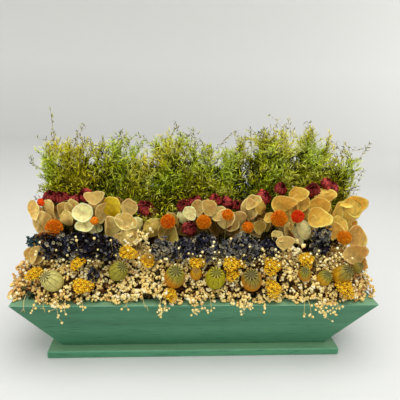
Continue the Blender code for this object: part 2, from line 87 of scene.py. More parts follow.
# Heads: x, y, z and radius
ROSEBUDS = [
    (-213, 6, 219, 9), (-196, 7, 217, 9), (-181, 9, 215, 8), (-163, 11, 221, 10), (-79, 9, 204, 11),
    (-22, 11, 207, 10), (-6, 12, 214, 9), (-15, -20, 184, 10), (24, 11, 218, 9), (40, 11, 213, 9),
    (57, 10, 210, 8), (95, 12, 222, 11), (120, 10, 236, 9), (170, 12, 235, 11), (189, 13, 246, 8),
    (198, 11, 239, 10),
]
GLOBES = [
    (-200, -27, 185, 10), (-146, -24, 195, 5), (-45, -24, 195, 9), (5, -24, 195, 9), (38, -26, 207, 7),
    (68, -26, 189, 7), (113, -22, 201, 10), (139, -24, 205, 8), (209, -30, 176, 9), (-223, 0, 213, 5),
]
SCARLET = {139: 0.85, -45: 0.42, 5: 0.22, 209: 0.2, -223: 0.7}  # how red a globe is, by its x
ORANGE = 0.3  # the same for the other globes
YARROW = [
    (-219, -60, 132, 9), (-164, -56, 146, 8), (-155, -74, 122, 10), (-98, -48, 158, 10),
    (-72, -50, 146, 8), (-5, -56, 147, 8), (-40, -77, 111, 8), (45, -55, 146, 11), (44, -62, 132, 8),
    (100, -55, 142, 11), (99, -74, 118, 10), (150, -50, 149, 10), (199, -76, 119, 11),
]
STATICE_SPRIG = (-143, -62, 131, 6)  # alone among the low filler
STATICE = [
    (-228, -32, 166, 7), (-197, -34, 160, 17), (-170, -35, 158, 17), (-132, -37, 158, 17),
    (-48, -36, 156, 14), (-20, -36, 158, 13), (6, -36, 160, 17), (38, -37, 158, 12),
    (62, -36, 158, 18), (100, -34, 160, 12), (174, -34, 164, 12), (176, -30, 180, 10), STATICE_SPRIG,
]
# Left of the first they are blue-green, right of the second greyer
STATICE_TEAL_X, STATICE_GREY_X = -220, -120

# Pods also have a lean of their crown, in degrees to the right, then the colours of crown and foot
PODS = [
    (-195, -66, 125, 13, -35, "pale", "pale"), (-110, -63, 138, 12, 35, "green", "green"),
    (-35, -64, 130, 14, 5, "green", "rust"), (20, -66, 129, 13.5, 0, "lime", "lime"),
    (70, -66, 126, 14, -10, "olive", "rust"), (145, -62, 134, 9, -10, "green", "rust"),
    (172, -65, 129, 10, 10, "green", "ochre"), (199, -61, 133, 12.5, 25, "olive", "ochre"),
    (224, -54, 140, 7, 15, "olive", "olive"), (-70, -50, 149, 7, 0, "ochre", "rust"),
    (-6, -62, 134, 8, 0, "ochre", "rust"),
]
POD_FORWARD_LEAN = 32
POD_COLOURS = {
    "pale": (208, 196, 110), "green": (156, 146, 44), "lime": (176, 164, 14), "olive": (146, 130, 46),
    "rust": (200, 130, 18), "ochre": (206, 152, 20),
}

# Honesty discs: x, y, z, width, height, turn about Z, lean about X, then a colour
LUNARIA = [
    (-232, -12, 205, 15, 26, 40, 20, "straw"), (-221, -14, 189, 26, 28, 5, 10, "straw"),
    (-218, -22, 170, 22, 28, 35, 0, "tan"), (-210, -5, 203, 24, 30, -20, -5, "straw"),
    (-180, -4, 205, 22, 30, 25, -8, "straw"), (-187, -10, 193, 20, 22, 0, 10, "straw"),
    (-197, -2, 203, 16, 26, 50, 0, "straw"), (-220, -40, 152, 22, 26, 0, 5, "tan"),
    (-163, -14, 203, 30, 24, -5, 20, "cream"), (-160, -17, 186, 28, 18, 10, 25, "cream"),
    (-149, -5, 221, 28, 17, 10, 30, "straw"), (-139, -9, 203, 22, 30, 35, -10, "straw"),
    (-133, -16, 182, 20, 34, 62, 0, "straw"), (-124, -12, 210, 28, 30, -10, 0, "olive"),
    (-101, -6, 209, 23, 24, 15, 10, "straw"), (-104, -13, 191, 34, 22, 0, 15, "straw"),
    (-100, -26, 173, 30, 26, -8, 25, "straw"), (-87, -14, 186, 20, 20, 40, 0, "cream"),
    (-66, -12, 182, 32, 24, 8, 25, "moss"), (-36, -8, 189, 18, 28, 30, 0, "moss"),
    (-14, -12, 204, 19, 20, -10, 10, "cream"), (-4, -4, 211, 19, 24, 15, 0, "straw"),
    (10, -7, 211, 20, 26, 30, 5, "straw"), (38, -14, 197, 30, 26, -20, 20, "straw"),
    (56, -11, 195, 25, 26, 12, 0, "straw"), (72, -8, 209, 26, 32, -8, 0, "straw"),
    (92, -6, 211, 22, 28, 45, 0, "golden"), (116, -4, 216, 32, 28, 12, 10, "golden"),
    (87, -14, 184, 18, 18, -10, 25, "moss"), (117, -36, 169, 24, 18, 10, 25, "straw"),
    (102, -12, 198, 22, 14, 10, 45, "golden"), (130, -18, 181, 16, 26, 20, 0, "straw"),
    (152, -20, 183, 20, 29, -15, 5, "cream"), (140, 0, 231, 26, 20, 0, 20, "golden"),
    (167, -12, 202, 32, 27, 5, 12, "golden"), (175, -6, 215, 31, 30, -12, 6, "golden"),
    (184, 1, 230, 30, 22, -5, 25, "golden"), (152, -4, 219, 18, 24, -20, 0, "golden"),
    (200, -7, 207, 24, 34, 35, 0, "golden"), (224, -10, 208, 32, 34, -8, 5, "golden"),
    (229, -22, 178, 26, 32, -20, 0, "straw"), (194, -20, 183, 22, 25, 20, 5, "golden"),
    (223, -38, 153, 33, 26, -10, 20, "tan"),
    # Behind the others, down to the statice; the bronze ones are painted darker as shade
    (-76, 4, 188, 26, 30, 20, 5, "bronze"), (-52, 4, 176, 30, 28, -15, 5, "bronze"),
    (-24, 4, 178, 30, 28, 10, 5, "bronze"), (6, 5, 184, 28, 30, -12, 0, "bronze"),
    (26, 4, 180, 28, 28, 15, 5, "bronze"), (50, 4, 177, 28, 26, -10, 5, "bronze"),
    (74, 3, 184, 28, 30, 15, 0, "tan"), (97, 3, 188, 26, 28, -15, 0, "bronze"),
    (122, 1, 196, 30, 28, 10, 5, "golden"), (127, -2, 174, 26, 24, -10, 0, "bronze"),
    (148, -1, 203, 26, 30, 0, 5, "golden"), (160, -6, 186, 26, 26, 18, 0, "golden"),
    (184, 2, 204, 28, 32, -12, 0, "golden"), (206, -12, 188, 28, 28, 12, 5, "golden"),
    (214, 0, 196, 26, 32, -10, 0, "golden"), (-150, 4, 200, 28, 26, 10, 0, "tan"),
    (-122, 2, 192, 28, 28, -10, 0, "tan"), (-176, 0, 196, 26, 28, 10, 0, "tan"),
]
# bronze is for discs behind the others, painted darker as shade
DISC_COLOURS = {
    "cream": (255, 236, 164), "straw": (238, 204, 120), "tan": (222, 184, 104), "golden": (250, 202, 90),
    "olive": (222, 188, 8), "moss": (190, 162, 74), "bronze": (134, 102, 36),
}
FLAT_COLOURS = ("cream", "olive")  # discs of these colours are hardly folded


# ---- shapes

Shape = namedtuple("Shape", "points faces across up")  # across and up place each point on the map


def unit(vectors):
    return vectors / np.maximum(np.linalg.norm(vectors, axis=-1, keepdims=True), 1e-12)


def turned(directions, spins):
    """One matrix for each direction: it turns +Z to the direction, after a spin about +Z."""
    up = unit(np.asarray(directions, float))
    helper = np.where(np.abs(up[:, 2:]) < 0.9, (0.0, 0.0, 1.0), (1.0, 0.0, 0.0))
    side = unit(np.cross(helper, up))
    other = np.cross(up, side)
    c, s = np.cos(spins)[:, None], np.sin(spins)[:, None]
    return np.stack([c * side + s * other, c * other - s * side, up], axis=2)


def turn_to(axis, spin):
    """The matrix that turns +Z to one axis, after a spin about +Z."""
    return turned(axis[None], np.array([spin]))[0]


def polar(radius, turns, height):
    """Points round +Z, in rows."""
    parts = np.broadcast_arrays(radius * np.cos(turns), radius * np.sin(turns), height)
    return np.stack(parts, -1).reshape(-1, 3)


def polar_grid(shares, columns):
    """Grids of the share along a round surface and of the turn round it."""
    return np.meshgrid(shares, np.arange(columns) * 2 * math.pi / columns, indexing="ij")


def triangles(*corners):
    """Rows of three point numbers, from triples of arrays of such numbers."""
    return np.vstack([np.stack(three, 1) for three in corners])


def flat_shape(points, faces, across):
    points = np.array(points)
    return Shape(points, np.array(faces), np.array(across), points[:, 2])


# Of unit length along +Z: a needle bent at its widest, a ribbon, and a scale folded along its middle
NEEDLE = flat_shape(
    [(0, 0, 0), (-0.5, 0, 0.42), (0.5, 0, 0.42), (0, 0.34, 1)], [(0, 2, 1), (1, 2, 3)], [0, -1, 1, 0]
)
STRIP = flat_shape(
    [(-0.5, 0, 0), (0.5, 0, 0), (0.5, 0, 1), (-0.5, 0, 1)], [(0, 1, 2), (0, 2, 3)], [-1, 1, 1, -1]
)
SCALE = flat_shape(
    [(0, 0, 0), (-0.5, 0.2, 0.45), (0.5, 0.2, 0.45), (0, 0, 1)], [(0, 3, 1), (0, 2, 3)], [0, -1, 1, 0]
)


def rod(sides):
    """An open tube of unit radius and length along +Z."""
    turns = 2 * math.pi * np.arange(sides) / sides
    points = np.vstack([polar(1, turns, z) for z in (0.0, 1.0)])
    here = np.arange(sides)
    after = (here + 1) % sides
    faces = triangles((here, after, after + sides), (here, after + sides, here + sides))
    return Shape(points, faces, np.tile(np.cos(turns), 2), np.repeat([0.75, 0.9], sides))


def star_cup(lobes):
    """A small closed blossom: a cone whose rim has pointed lobes, with a sunk middle."""
    turns = math.pi * np.arange(2 * lobes) / lobes
    tip = np.arange(2 * lobes) % 2 == 0
    rim = polar(np.where(tip, 1.0, 0.84), turns, np.where(tip, 0.95, 0.74))
    points = np.vstack([(0, 0, -0.35), rim, (0, 0, 0.05)])
    here = np.arange(2 * lobes) + 1
    after = here % (2 * lobes) + 1
    foot, top = np.zeros_like(here), np.full_like(here, 2 * lobes + 1)
    faces = triangles((foot, after, here), (top, here, after))
    # the sunk middle sits low on the map's Y, so the painted foot shade darkens it
    up = np.concatenate([[0.0], np.where(tip, 1.0, 0.85), [0.3]])
    return Shape(points, faces, np.concatenate([[0], np.cos(turns), [0]]), up)


def bead(petals):
    """A round bloom: a bud whose petals meet over its middle."""
    turns = 2 * math.pi * np.arange(petals) / petals
    between = turns + math.pi / petals
    points = np.vstack([(0, 0, -0.9), polar(0.85, turns, -0.2), polar(0.78, between, 0.6), (0, 0, 0.78)])
    low = np.arange(petals) + 1
    after = low % petals + 1
    high = low + petals
    foot, top = np.zeros_like(low), np.full_like(low, 2 * petals + 1)
    faces = triangles(
        (foot, after, low), (low, after, high), (after, after + petals, high), (top, high, after + petals)
    )
    across = np.concatenate([[0], np.cos(turns), np.cos(between), [0]])
    return Shape(points, faces, across, np.repeat([0.0, 0.45, 0.85, 0.7], [1, petals, petals, 1]))


BLOOM, CORE, CUP = bead(5), bead(6), star_cup(6)


def grid_faces(rows, columns, closed=False, pole=False):
    """Triangles of a grid of rows x columns points, joined round if closed.

    With a pole, the grid's first row is one point.
    """
    r, c = np.meshgrid(np.arange(rows - 1), np.arange(columns if closed else columns - 1), indexing="ij")
    after = (c + 1) % columns
    a, b = r * columns + c, r * columns + after
    d, e = (r + 1) * columns + c, (r + 1) * columns + after
    if pole:
        a[0], b[0] = 0, 0
    a, b, d, e = (corner.ravel() for corner in (a, b, d, e))
    faces = triangles((a, b, e), (a, e, d))
    return faces[faces[:, 0] != faces[:, 1]]


def srgb(*colour):
    """A linear colour from its 0-255 screen values."""
    share = np.asarray(colour, float) / 255
    return np.where(share <= 0.04045, share / 12.92, ((share + 0.055) / 1.055) ** 2.4)


STEM_SLOT, SHADE_LITTER_SLOT = 1, 2  # material slots of a piece, after the first, its flowers or leaves
STEM_OVERLAP = 1.02  # lengths of a stem run a little into each other


class Mass:
    """Small shapes gathered into one mesh.

    Every point has a tint and a place on the OFBake map. For a copy of a small shape, X there is its
    tone, and Y runs from its foot to its tip.
    """

    def __init__(self, name):
        self.name = name
        self.dice = np.random.default_rng(list(name.encode()))
        self.points, self.faces, self.maps, self.tints = [], [], [], []
        self.slots, self.smooth = [], []
        self.count = 0

    def add(self, points, faces, across, up, tint=(1, 1, 1), slot=0, smooth=False):
        """Takes a shape in, with those of its points that a face uses."""
        used, faces = np.unique(faces, return_inverse=True)
        self.points.append(points[used])
        self.faces.append(faces.reshape(-1, 3) + self.count)
        self.maps.append(np.stack([across[used], up[used]], 1).clip(0.002, 0.998))
        self.tints.append(np.broadcast_to(tint, points.shape)[used])
        self.slots.append(np.full(len(self.faces[-1]), slot))
        self.smooth.append(np.full(len(self.faces[-1]), smooth))
        self.count += len(used)

    def copies(self, shape, places, directions, sizes, tones, slot=0, smooth=False):
        """Copies of a shape at places, +Z along directions, stretched by sizes, each with its tone."""
        count = len(directions)
        if not count:
            return
        spins = self.dice.uniform(0, 2 * math.pi, count)
        places, sizes = (np.broadcast_to(given, (count, 3)) for given in (places, sizes))
        scaled = shape.points[None] * sizes[:, None]
        points = np.einsum("nij,npj->npi", turned(directions, spins), scaled) + places[:, None]
        starts = np.arange(count)[:, None, None] * len(shape.points)
        faces = (shape.faces[None] + starts).reshape(-1, 3)
        tones = np.broadcast_to(tones, count).clip(0, 1)
        across = 0.03 + 0.94 * tones[:, None] + 0.012 * shape.across[None]
        up = np.broadcast_to(0.04 + 0.92 * shape.up[None], (count, len(shape.up)))
        self.add(points.reshape(-1, 3), faces, across.ravel(), up.ravel(), slot=slot, smooth=smooth)

    def sticks(self, starts, ends, radii, tones, sides=3):
        """Straight lengths of stem between pairs of points."""
        along = ends - starts
        lengths = np.linalg.norm(along, axis=1) * STEM_OVERLAP
        radii = np.broadcast_to(radii, len(starts))
        self.copies(rod(sides), starts, along, np.stack([radii, radii, lengths], 1), tones, STEM_SLOT)

    def hairs(self, starts, ends, width, tones):
        """Flat hair-fine stalks to the ends, from one point for all or from one for each."""
        along = ends - starts
        lengths = np.linalg.norm(along, axis=1)
        widths = np.full(len(lengths), width)
        self.copies(STRIP, starts, along, np.stack([widths, widths, lengths], 1), tones, STEM_SLOT)

    def stem(self, route, radii, tone, sides=5):
        """A stem along a list of points, thinning from the first radius to the last."""
        self.sticks(route[:-1], route[1:], np.linspace(*radii, len(route) - 1), tone, sides)

    def piece(self, materials, finish, *replaced):
        """Makes the mesh, in metres, and ties it to the CAD."""
        points = np.concatenate(self.points) * MM
        faces = np.concatenate(self.faces).astype(np.int32)
        mesh = bpy.data.meshes.new(self.name)
        mesh.vertices.add(len(points))
        mesh.vertices.foreach_set("co", points.astype(np.float32).ravel())
        mesh.loops.add(faces.size)
        mesh.loops.foreach_set("vertex_index", faces.ravel())
        mesh.polygons.add(len(faces))
        mesh.polygons.foreach_set("loop_start", np.arange(len(faces), dtype=np.int32) * 3)
        mesh.polygons.foreach_set("material_index", np.concatenate(self.slots).astype(np.int32))
        mesh.polygons.foreach_set("use_smooth", np.concatenate(self.smooth))
        mesh.update(calc_edges=True)
        places = np.concatenate(self.maps).astype(np.float32)[faces.ravel()]
        mesh.uv_layers.new(name="OFBake").uv.foreach_set("vector", places.ravel())
        tint = np.column_stack([np.concatenate(self.tints), np.ones(len(points))]).astype(np.float32)
        mesh.color_attributes.new("tint", "FLOAT_COLOR", "POINT").data.foreach_set("color", tint.ravel())
        for material in materials:
            mesh.materials.append(material)
        made = bpy.data.objects.new(self.name, mesh)
        bpy.context.scene.collection.objects.link(made)
        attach(made, BODY)
        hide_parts(*replaced)
        return made


def arc(start, middle, end, count):
    """count points along the curve from start to end that is drawn towards middle."""
    share = np.linspace(0, 1, count)[:, None]
    start, middle, end = (np.asarray(x, float) for x in (start, middle, end))
    return (1 - share) ** 2 * start + 2 * share * (1 - share) * middle + share**2 * end


def nodes_of(kind):
    return [name for name in NODES if name.startswith(kind)]


def room_of(node):
    """Lowest and highest corner of a CAD node, in millimetres."""
    return tuple(np.array(corner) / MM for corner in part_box(node))


def shared_out(items, kind):
    """The items of a table, for each node of a kind: an item goes to the node whose box is nearest in X.

    Where it is in the boxes of two, the one with the nearer middle gets it.
    """
    rooms = {name: room_of(name) for name in nodes_of(kind)}

    def off(name, item):
        low, high = rooms[name]
        x = item[0]
        return max(low[0] - x, x - high[0], 0) + 0.01 * abs((low[0] + high[0]) / 2 - x)

    given = {name: [] for name in rooms}
    for item in items:
        given[min(rooms, key=lambda name: off(name, item))].append(item)
    return given


def foot_of(items, kind):
    """Where a plant's stem stands in the foam, for its heads or discs."""
    return np.array([END_LEAN * np.mean([item[0] for item in items]), ROW_Y[kind], STEM_FOOT_Z])


def within(heads, share):
    """Where the stem of each head ends: at its middle, less share times its radius."""
    return [np.array(head[:3], float) - head[3] * np.array(share) for head in heads]


STEM_RADII, STEM_TONE = (1.5, 0.8), 0.5
FORK_SHARE, FORK_RISE = 0.5, 6  # how far up a stem forks, and its least height over the rim


def grow_stems(mass, ends, foot):
    """A stem from the foot that forks above the rim, with a branch to each end."""
    fork = foot + (np.mean(ends, axis=0) - foot) * FORK_SHARE
    fork[2] = max(fork[2], RIM_Z + FORK_RISE)
    mass.stem(arc(foot, (foot + fork) / 2, fork, 4), STEM_RADII, STEM_TONE)
    for end in ends:
        lift = (fork + end) / 2 + (0, 0, 0.2 * (end[2] - fork[2]))
        mass.stem(arc(fork, lift, end, 5), (STEM_RADII[1], 0.6 * STEM_RADII[1]), STEM_TONE, sides=4)


def add_heads(kind, table, add, materials, name, finish):
    """A piece for each node of a kind: add puts in its heads, and may give the ends of branches."""
    for node, items in shared_out(table, kind).items():
        mass = Mass(node + name)
        ends = add(mass, items)
        if ends:
            grow_stems(mass, ends, foot_of(items, kind))
        mass.piece(materials, finish, node)


# ---- materials

WHITE, BLACK = (255, 255, 255), (0, 0, 0)
PATCHES = ((0.3, WHITE), (0.7, (249, 249, 249)))  # faint broad patches over most pieces


def new_material(name, roughness, gloss=0.2, subsurface=0.0):
    made = bpy.data.materials.new(name)
    made.use_nodes = True
    shader = made.node_tree.nodes["Principled BSDF"]
    shader.inputs["Roughness"].default_value = roughness
    shader.inputs["Specular IOR Level"].default_value = gloss
    shader.inputs["Subsurface Weight"].default_value = subsurface
    shader.inputs["Subsurface Scale"].default_value = 2 * MM
    return made, made.node_tree, shader


def feed(tree, given, socket):
    """Links an input to a socket, or sets it to a value."""
    if isinstance(given, bpy.types.NodeSocket):
        tree.links.new(given, socket)
    else:
        socket.default_value = given


def new_node(tree, kind, **inputs):
    node = tree.nodes.new("ShaderNode" + kind)
    for name, given in inputs.items():
        feed(tree, given, node.inputs[name])
    return node


def ramp(tree, value, stops):
    """A colour ramp of (place, screen colour) stops, read at value."""
    node = new_node(tree, "ValToRGB", Fac=value)
    elements = node.color_ramp.elements
    for index, (place, colour) in enumerate(stops):
        element = elements[index] if index < 2 else elements.new(place)
        element.position = place
        element.color = (*srgb(*colour), 1)
    return node.outputs["Color"]


def mixed(tree, kind, share, first, second):
    node = new_node(tree, "Mix")
    node.data_type, node.blend_type = "RGBA", kind
    sockets = {socket.identifier: socket for socket in (*node.inputs, *node.outputs)}
    for name, given in (("Factor_Float", share), ("A_Color", first), ("B_Color", second)):
        feed(tree, given, sockets[name])
    return sockets["Result_Color"]


def noise(tree, scale, detail=3.0, stretch=(1, 1, 1), vector=None):
    """Noise over the piece's own coordinates, in metres, finer where stretch is greater."""
    source = vector or new_node(tree, "TexCoord").outputs["Object"]
    place = new_node(tree, "Mapping", Scale=stretch, Vector=source).outputs["Vector"]
    return new_node(tree, "TexNoise", Scale=scale, Detail=detail, Vector=place).outputs["Fac"]


def bumped(tree, shader, height, strength, depth):
    bump = new_node(tree, "Bump", Strength=strength, Distance=depth, Height=height)
    tree.links.new(bump.outputs["Normal"], shader.inputs["Normal"])


def toned(name, tones, foot_shade, roughness, gloss=0.2, patches=PATCHES):
    """For masses of small shapes: colour by each copy's tone, painted shade darker at its foot, and
    patches.
    """
    made, tree, shader = new_material(name, roughness, gloss)
    place = new_node(tree, "UVMap")
    place.uv_map = "OFBake"
    split = new_node(tree, "SeparateXYZ", Vector=place.outputs["UV"])
    colour = ramp(tree, split.outputs["X"], tones)
    # painted shade: the map's Y darkens each copy towards its foot
    shade = ramp(tree, split.outputs["Y"], foot_shade)
    base = mixed(tree, "MULTIPLY", 1.0, colour, shade)
    spread = noise(tree, 9.0, 2.0, (6, 1, 1), place.outputs["UV"])
    flecks = ramp(tree, spread, [(0.3, (150, 150, 150)), (0.7, WHITE)])
    flecked = mixed(tree, "MULTIPLY", 0.25, base, flecks)
    broad = ramp(tree, noise(tree, 16.0, 1.0), patches)
    tree.links.new(mixed(tree, "MULTIPLY", 1.0, flecked, broad), shader.inputs["Base Color"])
    return made


def tinted(name, roughness, grain, grain_share, bump, subsurface=0.0):
    """For large shapes: the tint of their points, mottled by fine noise that also gives the bump."""
    made, tree, shader = new_material(name, roughness, subsurface=subsurface)
    tint = new_node(tree, "Attribute")
    tint.attribute_name = "tint"
    mottle = noise(tree, grain, 4.0)
    shade = ramp(tree, mottle, [(0.3, (135, 125, 110)), (0.62, WHITE)])
    colour = mixed(tree, "MULTIPLY", grain_share, tint.outputs["Color"], shade)
    tree.links.new(colour, shader.inputs["Base Color"])
    bumped(tree, shader, mottle, bump, 0.6 * MM)
    return made


def mottled(name, roughness, grain, stops, bump=None, metal=0.0):
    """Colour from noise. grain is its scale, detail and stretch, bump the strength and depth."""
    made, tree, shader = new_material(name, roughness)
    shader.inputs["Metallic"].default_value = metal
    cells = noise(tree, *grain)
    tree.links.new(ramp(tree, cells, stops), shader.inputs["Base Color"])
    if bump:
        bumped(tree, shader, cells, *bump)
    return made


# ---- box

PAINT = ((0.28, (62, 114, 84)), (0.5, (72, 128, 95)), (0.72, (84, 140, 106)))
WORN_PAINT, PAINTED_TOP_LIGHT = (128, 178, 150), (140, 172, 134)
WEAR_WIDTH = 1.4 * MM


def paint(name, stretch, light=1.0):
    """Brushed green paint over softwood, worn along its edges, and paler where it faces up as painted
    light.

    stretch is small along the boards' grain, light how bright the coat is; the base board's brighter coat
    is painted light.
    """
    made, tree, shader = new_material(name, 0.5)
    shader.inputs["Coat Weight"].default_value = 0.08
    fine = noise(tree, 110.0, 5.0, stretch)
    coats = [(place, [light * share for share in coat]) for place, coat in PAINT]
    streaks = ramp(tree, noise(tree, 9.0, 4.0, stretch), coats)
    lines = ramp(tree, fine, [(0.3, (150, 158, 154)), (0.46, WHITE), (0.72, WHITE)])
    colour = mixed(tree, "MULTIPLY", 0.5, streaks, lines)
    worn = new_node(tree, "Bevel", Radius=WEAR_WIDTH)
    worn.samples = 4
    flat = new_node(tree, "NewGeometry").outputs["Normal"]
    meets = new_node(tree, "VectorMath")
    meets.operation = "DOT_PRODUCT"
    tree.links.new(worn.outputs["Normal"], meets.inputs[0])
    tree.links.new(flat, meets.inputs[1])
    edge = ramp(tree, meets.outputs["Value"], [(0.9, WHITE), (0.995, BLACK)])
    colour = mixed(tree, "MIX", edge, colour, (*srgb(*WORN_PAINT), 1))
    # painted light: faces that look up are mixed towards a paler green
    facing = new_node(tree, "SeparateXYZ", Vector=flat)
    top_light = ramp(tree, facing.outputs["Z"], [(0.7, BLACK), (0.95, (180, 180, 180))])
    colour = mixed(tree, "MIX", top_light, colour, (*srgb(*PAINTED_TOP_LIGHT), 1))
    tree.links.new(colour, shader.inputs["Base Color"])
    bumped(tree, shader, fine, 0.25, 0.4 * MM)
    return made


def finish_box():
    """Gives the boards, screws and foam their materials."""
    along_x = paint("green_paint_along_x", (0.35, 4.0, 4.0))
    along_y = paint("green_paint_along_y", (4.0, 0.35, 4.0))
    # painted light: the base board gets a brighter copy of the box's paint
    base = paint("green_paint_base", (0.35, 4.0, 4.0), 1.12)
    pine = mottled("bare_pine", 0.7, (30.0, 4.0, (0.2, 3.0, 3.0)),
                   [(0.35, (196, 158, 108)), (0.6, (226, 198, 152))], (0.2, 0.4 * MM))
    zinc = mottled("screw_zinc", 0.35, (900.0,),
                   [(0.3, (130, 128, 120)), (0.7, (188, 188, 182))], metal=1.0)
    foam = mottled("dry_foam", 0.95, (900.0, 2.0), [(0.35, (34, 40, 24)), (0.65, (66, 74, 44))],
                   (0.8, 0.8 * MM))
    wears = {
        "base_board": base, "front_panel": along_x, "back_panel": along_x, "left_end_panel": along_y,
        "right_end_panel": along_y, "box_floor": pine, "base_screw_left": zinc, "base_screw_right": zinc,
        "foam_block_left": foam, "foam_block_right": foam,
    }
    for node, material in wears.items():
        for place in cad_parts[node].material_slots:
            place.material = material


# ---- fern

FERN_MIDDLE_Y, FERN_DEPTH = 38, 17
FERN_STEMS, FERN_SPACING, FERN_ENDS = 28, 68, (-216, 230)
FERN_OVERLAP = 7  # how far a bunch spreads into the next
FAN_Z = 125  # where the stems have fanned out
SHOOT_Z, SHOOT_STEP = 116, 6.4  # the lowest side shoots of a stem, and how far apart they are
SHOOT_LENGTHS, SHOOT_ANGLES = (16, 36), (5, 62)  # degrees over level, for the lowest
SHADE_NEEDLES, WISPS, WISP_TOP = 2300, 9, 342


def fern_top(x):
    return np.interp(x, *zip(*FERN_TOP))


def add_fern(node, leaf, bark):
    """A bunch of upright fern: stems that fan out, with shoots and needles."""
    mass = Mass(node + "_foliage")
    low, high = room_of(node)
    middle_x = (low[0] + high[0]) / 2
    half = FERN_SPACING / 2 + FERN_OVERLAP
    foot = foot_of([(middle_x,)], "fern")
    shoots = []
    for index in range(FERN_STEMS):
        share = 2 * (index + mass.dice.uniform(0, 1)) / FERN_STEMS - 1
        x = np.clip(middle_x + half * share, *FERN_ENDS)
        shoots += add_frond(mass, foot, x, index % 4 == 0)
    grow_twigs(mass, *(np.concatenate(part) for part in zip(*shoots)))
    add_depth(mass, middle_x, half)
    add_wisps(mass, middle_x, half)
    add_sprigs(mass, middle_x)
    mass.piece([leaf, bark], "fern", node)


def add_frond(mass, foot, x, tall):
    """One stem that fans out to x, up to the hedge's top if tall.

    Returns the twigs to grow, as starts, directions, lengths and tones: first the shoots that climb out
    of it, more steeply and paler towards its top, as painted shade low in the hedge and partly as older
    needles, then the stem's own upper lengths.
    """
    dice = mass.dice
    y = FERN_MIDDLE_Y + dice.uniform(-1, 1) * FERN_DEPTH * 0.7
    top = RIM_Z + (1.0 if tall else dice.uniform(0.5, 0.93)) * (fern_top(x) - RIM_Z) - 8
    tip = (np.clip(x + dice.normal(0, 11), *FERN_ENDS), y + dice.uniform(-7, 7), top)
    base = foot + dice.uniform(-1.2, 1.2, 3) * (1, 1, 0)
    route = arc(base, (0.25 * foot[0] + 0.75 * x, y, FAN_Z), tip, 15)
    hue = 0.5 + 0.14 * math.sin(x / 19) + dice.normal(0, 0.14)
    mass.stem(route, (1.0, 0.35), hue + 0.2, sides=3)
    heights = np.arange(SHOOT_Z, top - 4, SHOOT_STEP) + dice.uniform(0, 3)
    count = len(heights)
    starts = np.stack([np.interp(heights, route[:, 2], route[:, i]) for i in range(3)], 1)
    turns = GOLDEN_TURN * np.arange(count) + dice.uniform(0, 6)
    rise = np.radians(dice.uniform(*SHOOT_ANGLES, count) + 18 * (heights - SHOOT_Z) / (top - SHOOT_Z))
    flat = np.cos(rise)
    along = np.stack([flat * np.cos(turns), 0.6 * flat * np.sin(turns), np.sin(rise)], 1)
    room = (fern_top(x) + dice.uniform(-8, 3, count) - heights) / np.maximum(np.sin(rise), 0.3)
    reach = np.minimum(dice.uniform(*SHOOT_LENGTHS, count), np.maximum(room, 5))
    # painted shade: shoots low in the hedge are darker, partly also as older needles
    tones = hue - 0.8 + 1.43 * (heights - SHOOT_Z) / 180 + dice.normal(0, 0.1, count)
    upper, onward = route[6:-1], route[7:] - route[6:-1]
    lengths = np.linalg.norm(onward, axis=1)
    return [(starts, along, reach, tones), (upper, unit(onward), lengths, np.full(len(upper), hue))]


def grow_twigs(mass, starts, along, reach, tones, pace=2.0, needle=(8.0, 15.0)):
    """Twigs that bend upwards half-way, with a pair of needles of random length for each pace."""
    dice = mass.dice
    along = unit(along)
    bend = unit(along + (0, 0, 0.4) + dice.normal(0, 0.45, along.shape))
    middles = starts + along * reach[:, None] * 0.5
    ends = middles + bend * reach[:, None] * 0.5
    mass.hairs(starts, middles, 0.7, tones)
    mass.hairs(middles, ends, 0.5, tones)
    counts = np.maximum((reach / pace).astype(int), 2)
    twig = np.repeat(np.arange(len(starts)), counts * 2)
    order = np.arange(len(twig)) - np.repeat(np.cumsum(counts * 2) - counts * 2, counts * 2)
    share = (order // 2 + dice.uniform(0.2, 0.9, len(twig))) / counts[twig]
    early = share < 0.5
    local = np.where(early, share, share - 0.5)[:, None] * reach[twig][:, None]
    halves = (starts, middles), (along, bend)
    first, axis = (np.where(early[:, None], low[twig], high[twig]) for low, high in halves)
    side = unit(np.cross(axis, dice.normal(0, 1, (len(twig), 3))))
    splay = np.radians(dice.uniform(22, 80, len(twig)) * (1.0 - 0.3 * share))[:, None]
    pointing = axis * np.cos(splay) + side * np.sin(splay) + (0, 0, 0.12)
    length = dice.uniform(*needle, len(twig)) * (1.0 - 0.25 * share)
    sizes = np.stack([dice.uniform(0.95, 1.6, len(twig)), length, length], 1)
    tone = tones[twig] + dice.normal(0, 0.4, len(twig)) + 0.08 * share
    mass.copies(NEEDLE, first + axis * local, pointing, sizes, tone)


def grow_sparse(mass, spots, leaving, tone, needle):
    """Short twigs with few needles, for a shoot or sprig that stands alone."""
    reach = mass.dice.uniform(3, 9, len(spots))
    grow_twigs(mass, spots, unit(leaving), reach, np.full(len(spots), tone), 3.0, needle)


def add_depth(mass, middle_x, half):
    """Needles in the heart of the bunch, painted dark as shade, which close it where the shoots leave
    gaps.
    """
    dice = mass.dice
    x = np.clip(middle_x + half * dice.uniform(-1, 1, SHADE_NEEDLES), *FERN_ENDS)
    room = fern_top(x) - 40 - RIM_Z
    z = RIM_Z + 6 + room * dice.uniform(0, 1, SHADE_NEEDLES) ** 0.8
    places = np.stack([x, FERN_MIDDLE_Y + dice.normal(0, 5, SHADE_NEEDLES), z], 1)
    pointing = dice.normal(0, 0.6, (SHADE_NEEDLES, 3)) + (0, 0, 1)
    length = dice.uniform(7, 13, SHADE_NEEDLES)
    sizes = np.stack([dice.uniform(1.6, 2.6, SHADE_NEEDLES), length, length], 1)
    mass.copies(NEEDLE, places, pointing, sizes, dice.uniform(0.0, 0.24, SHADE_NEEDLES))


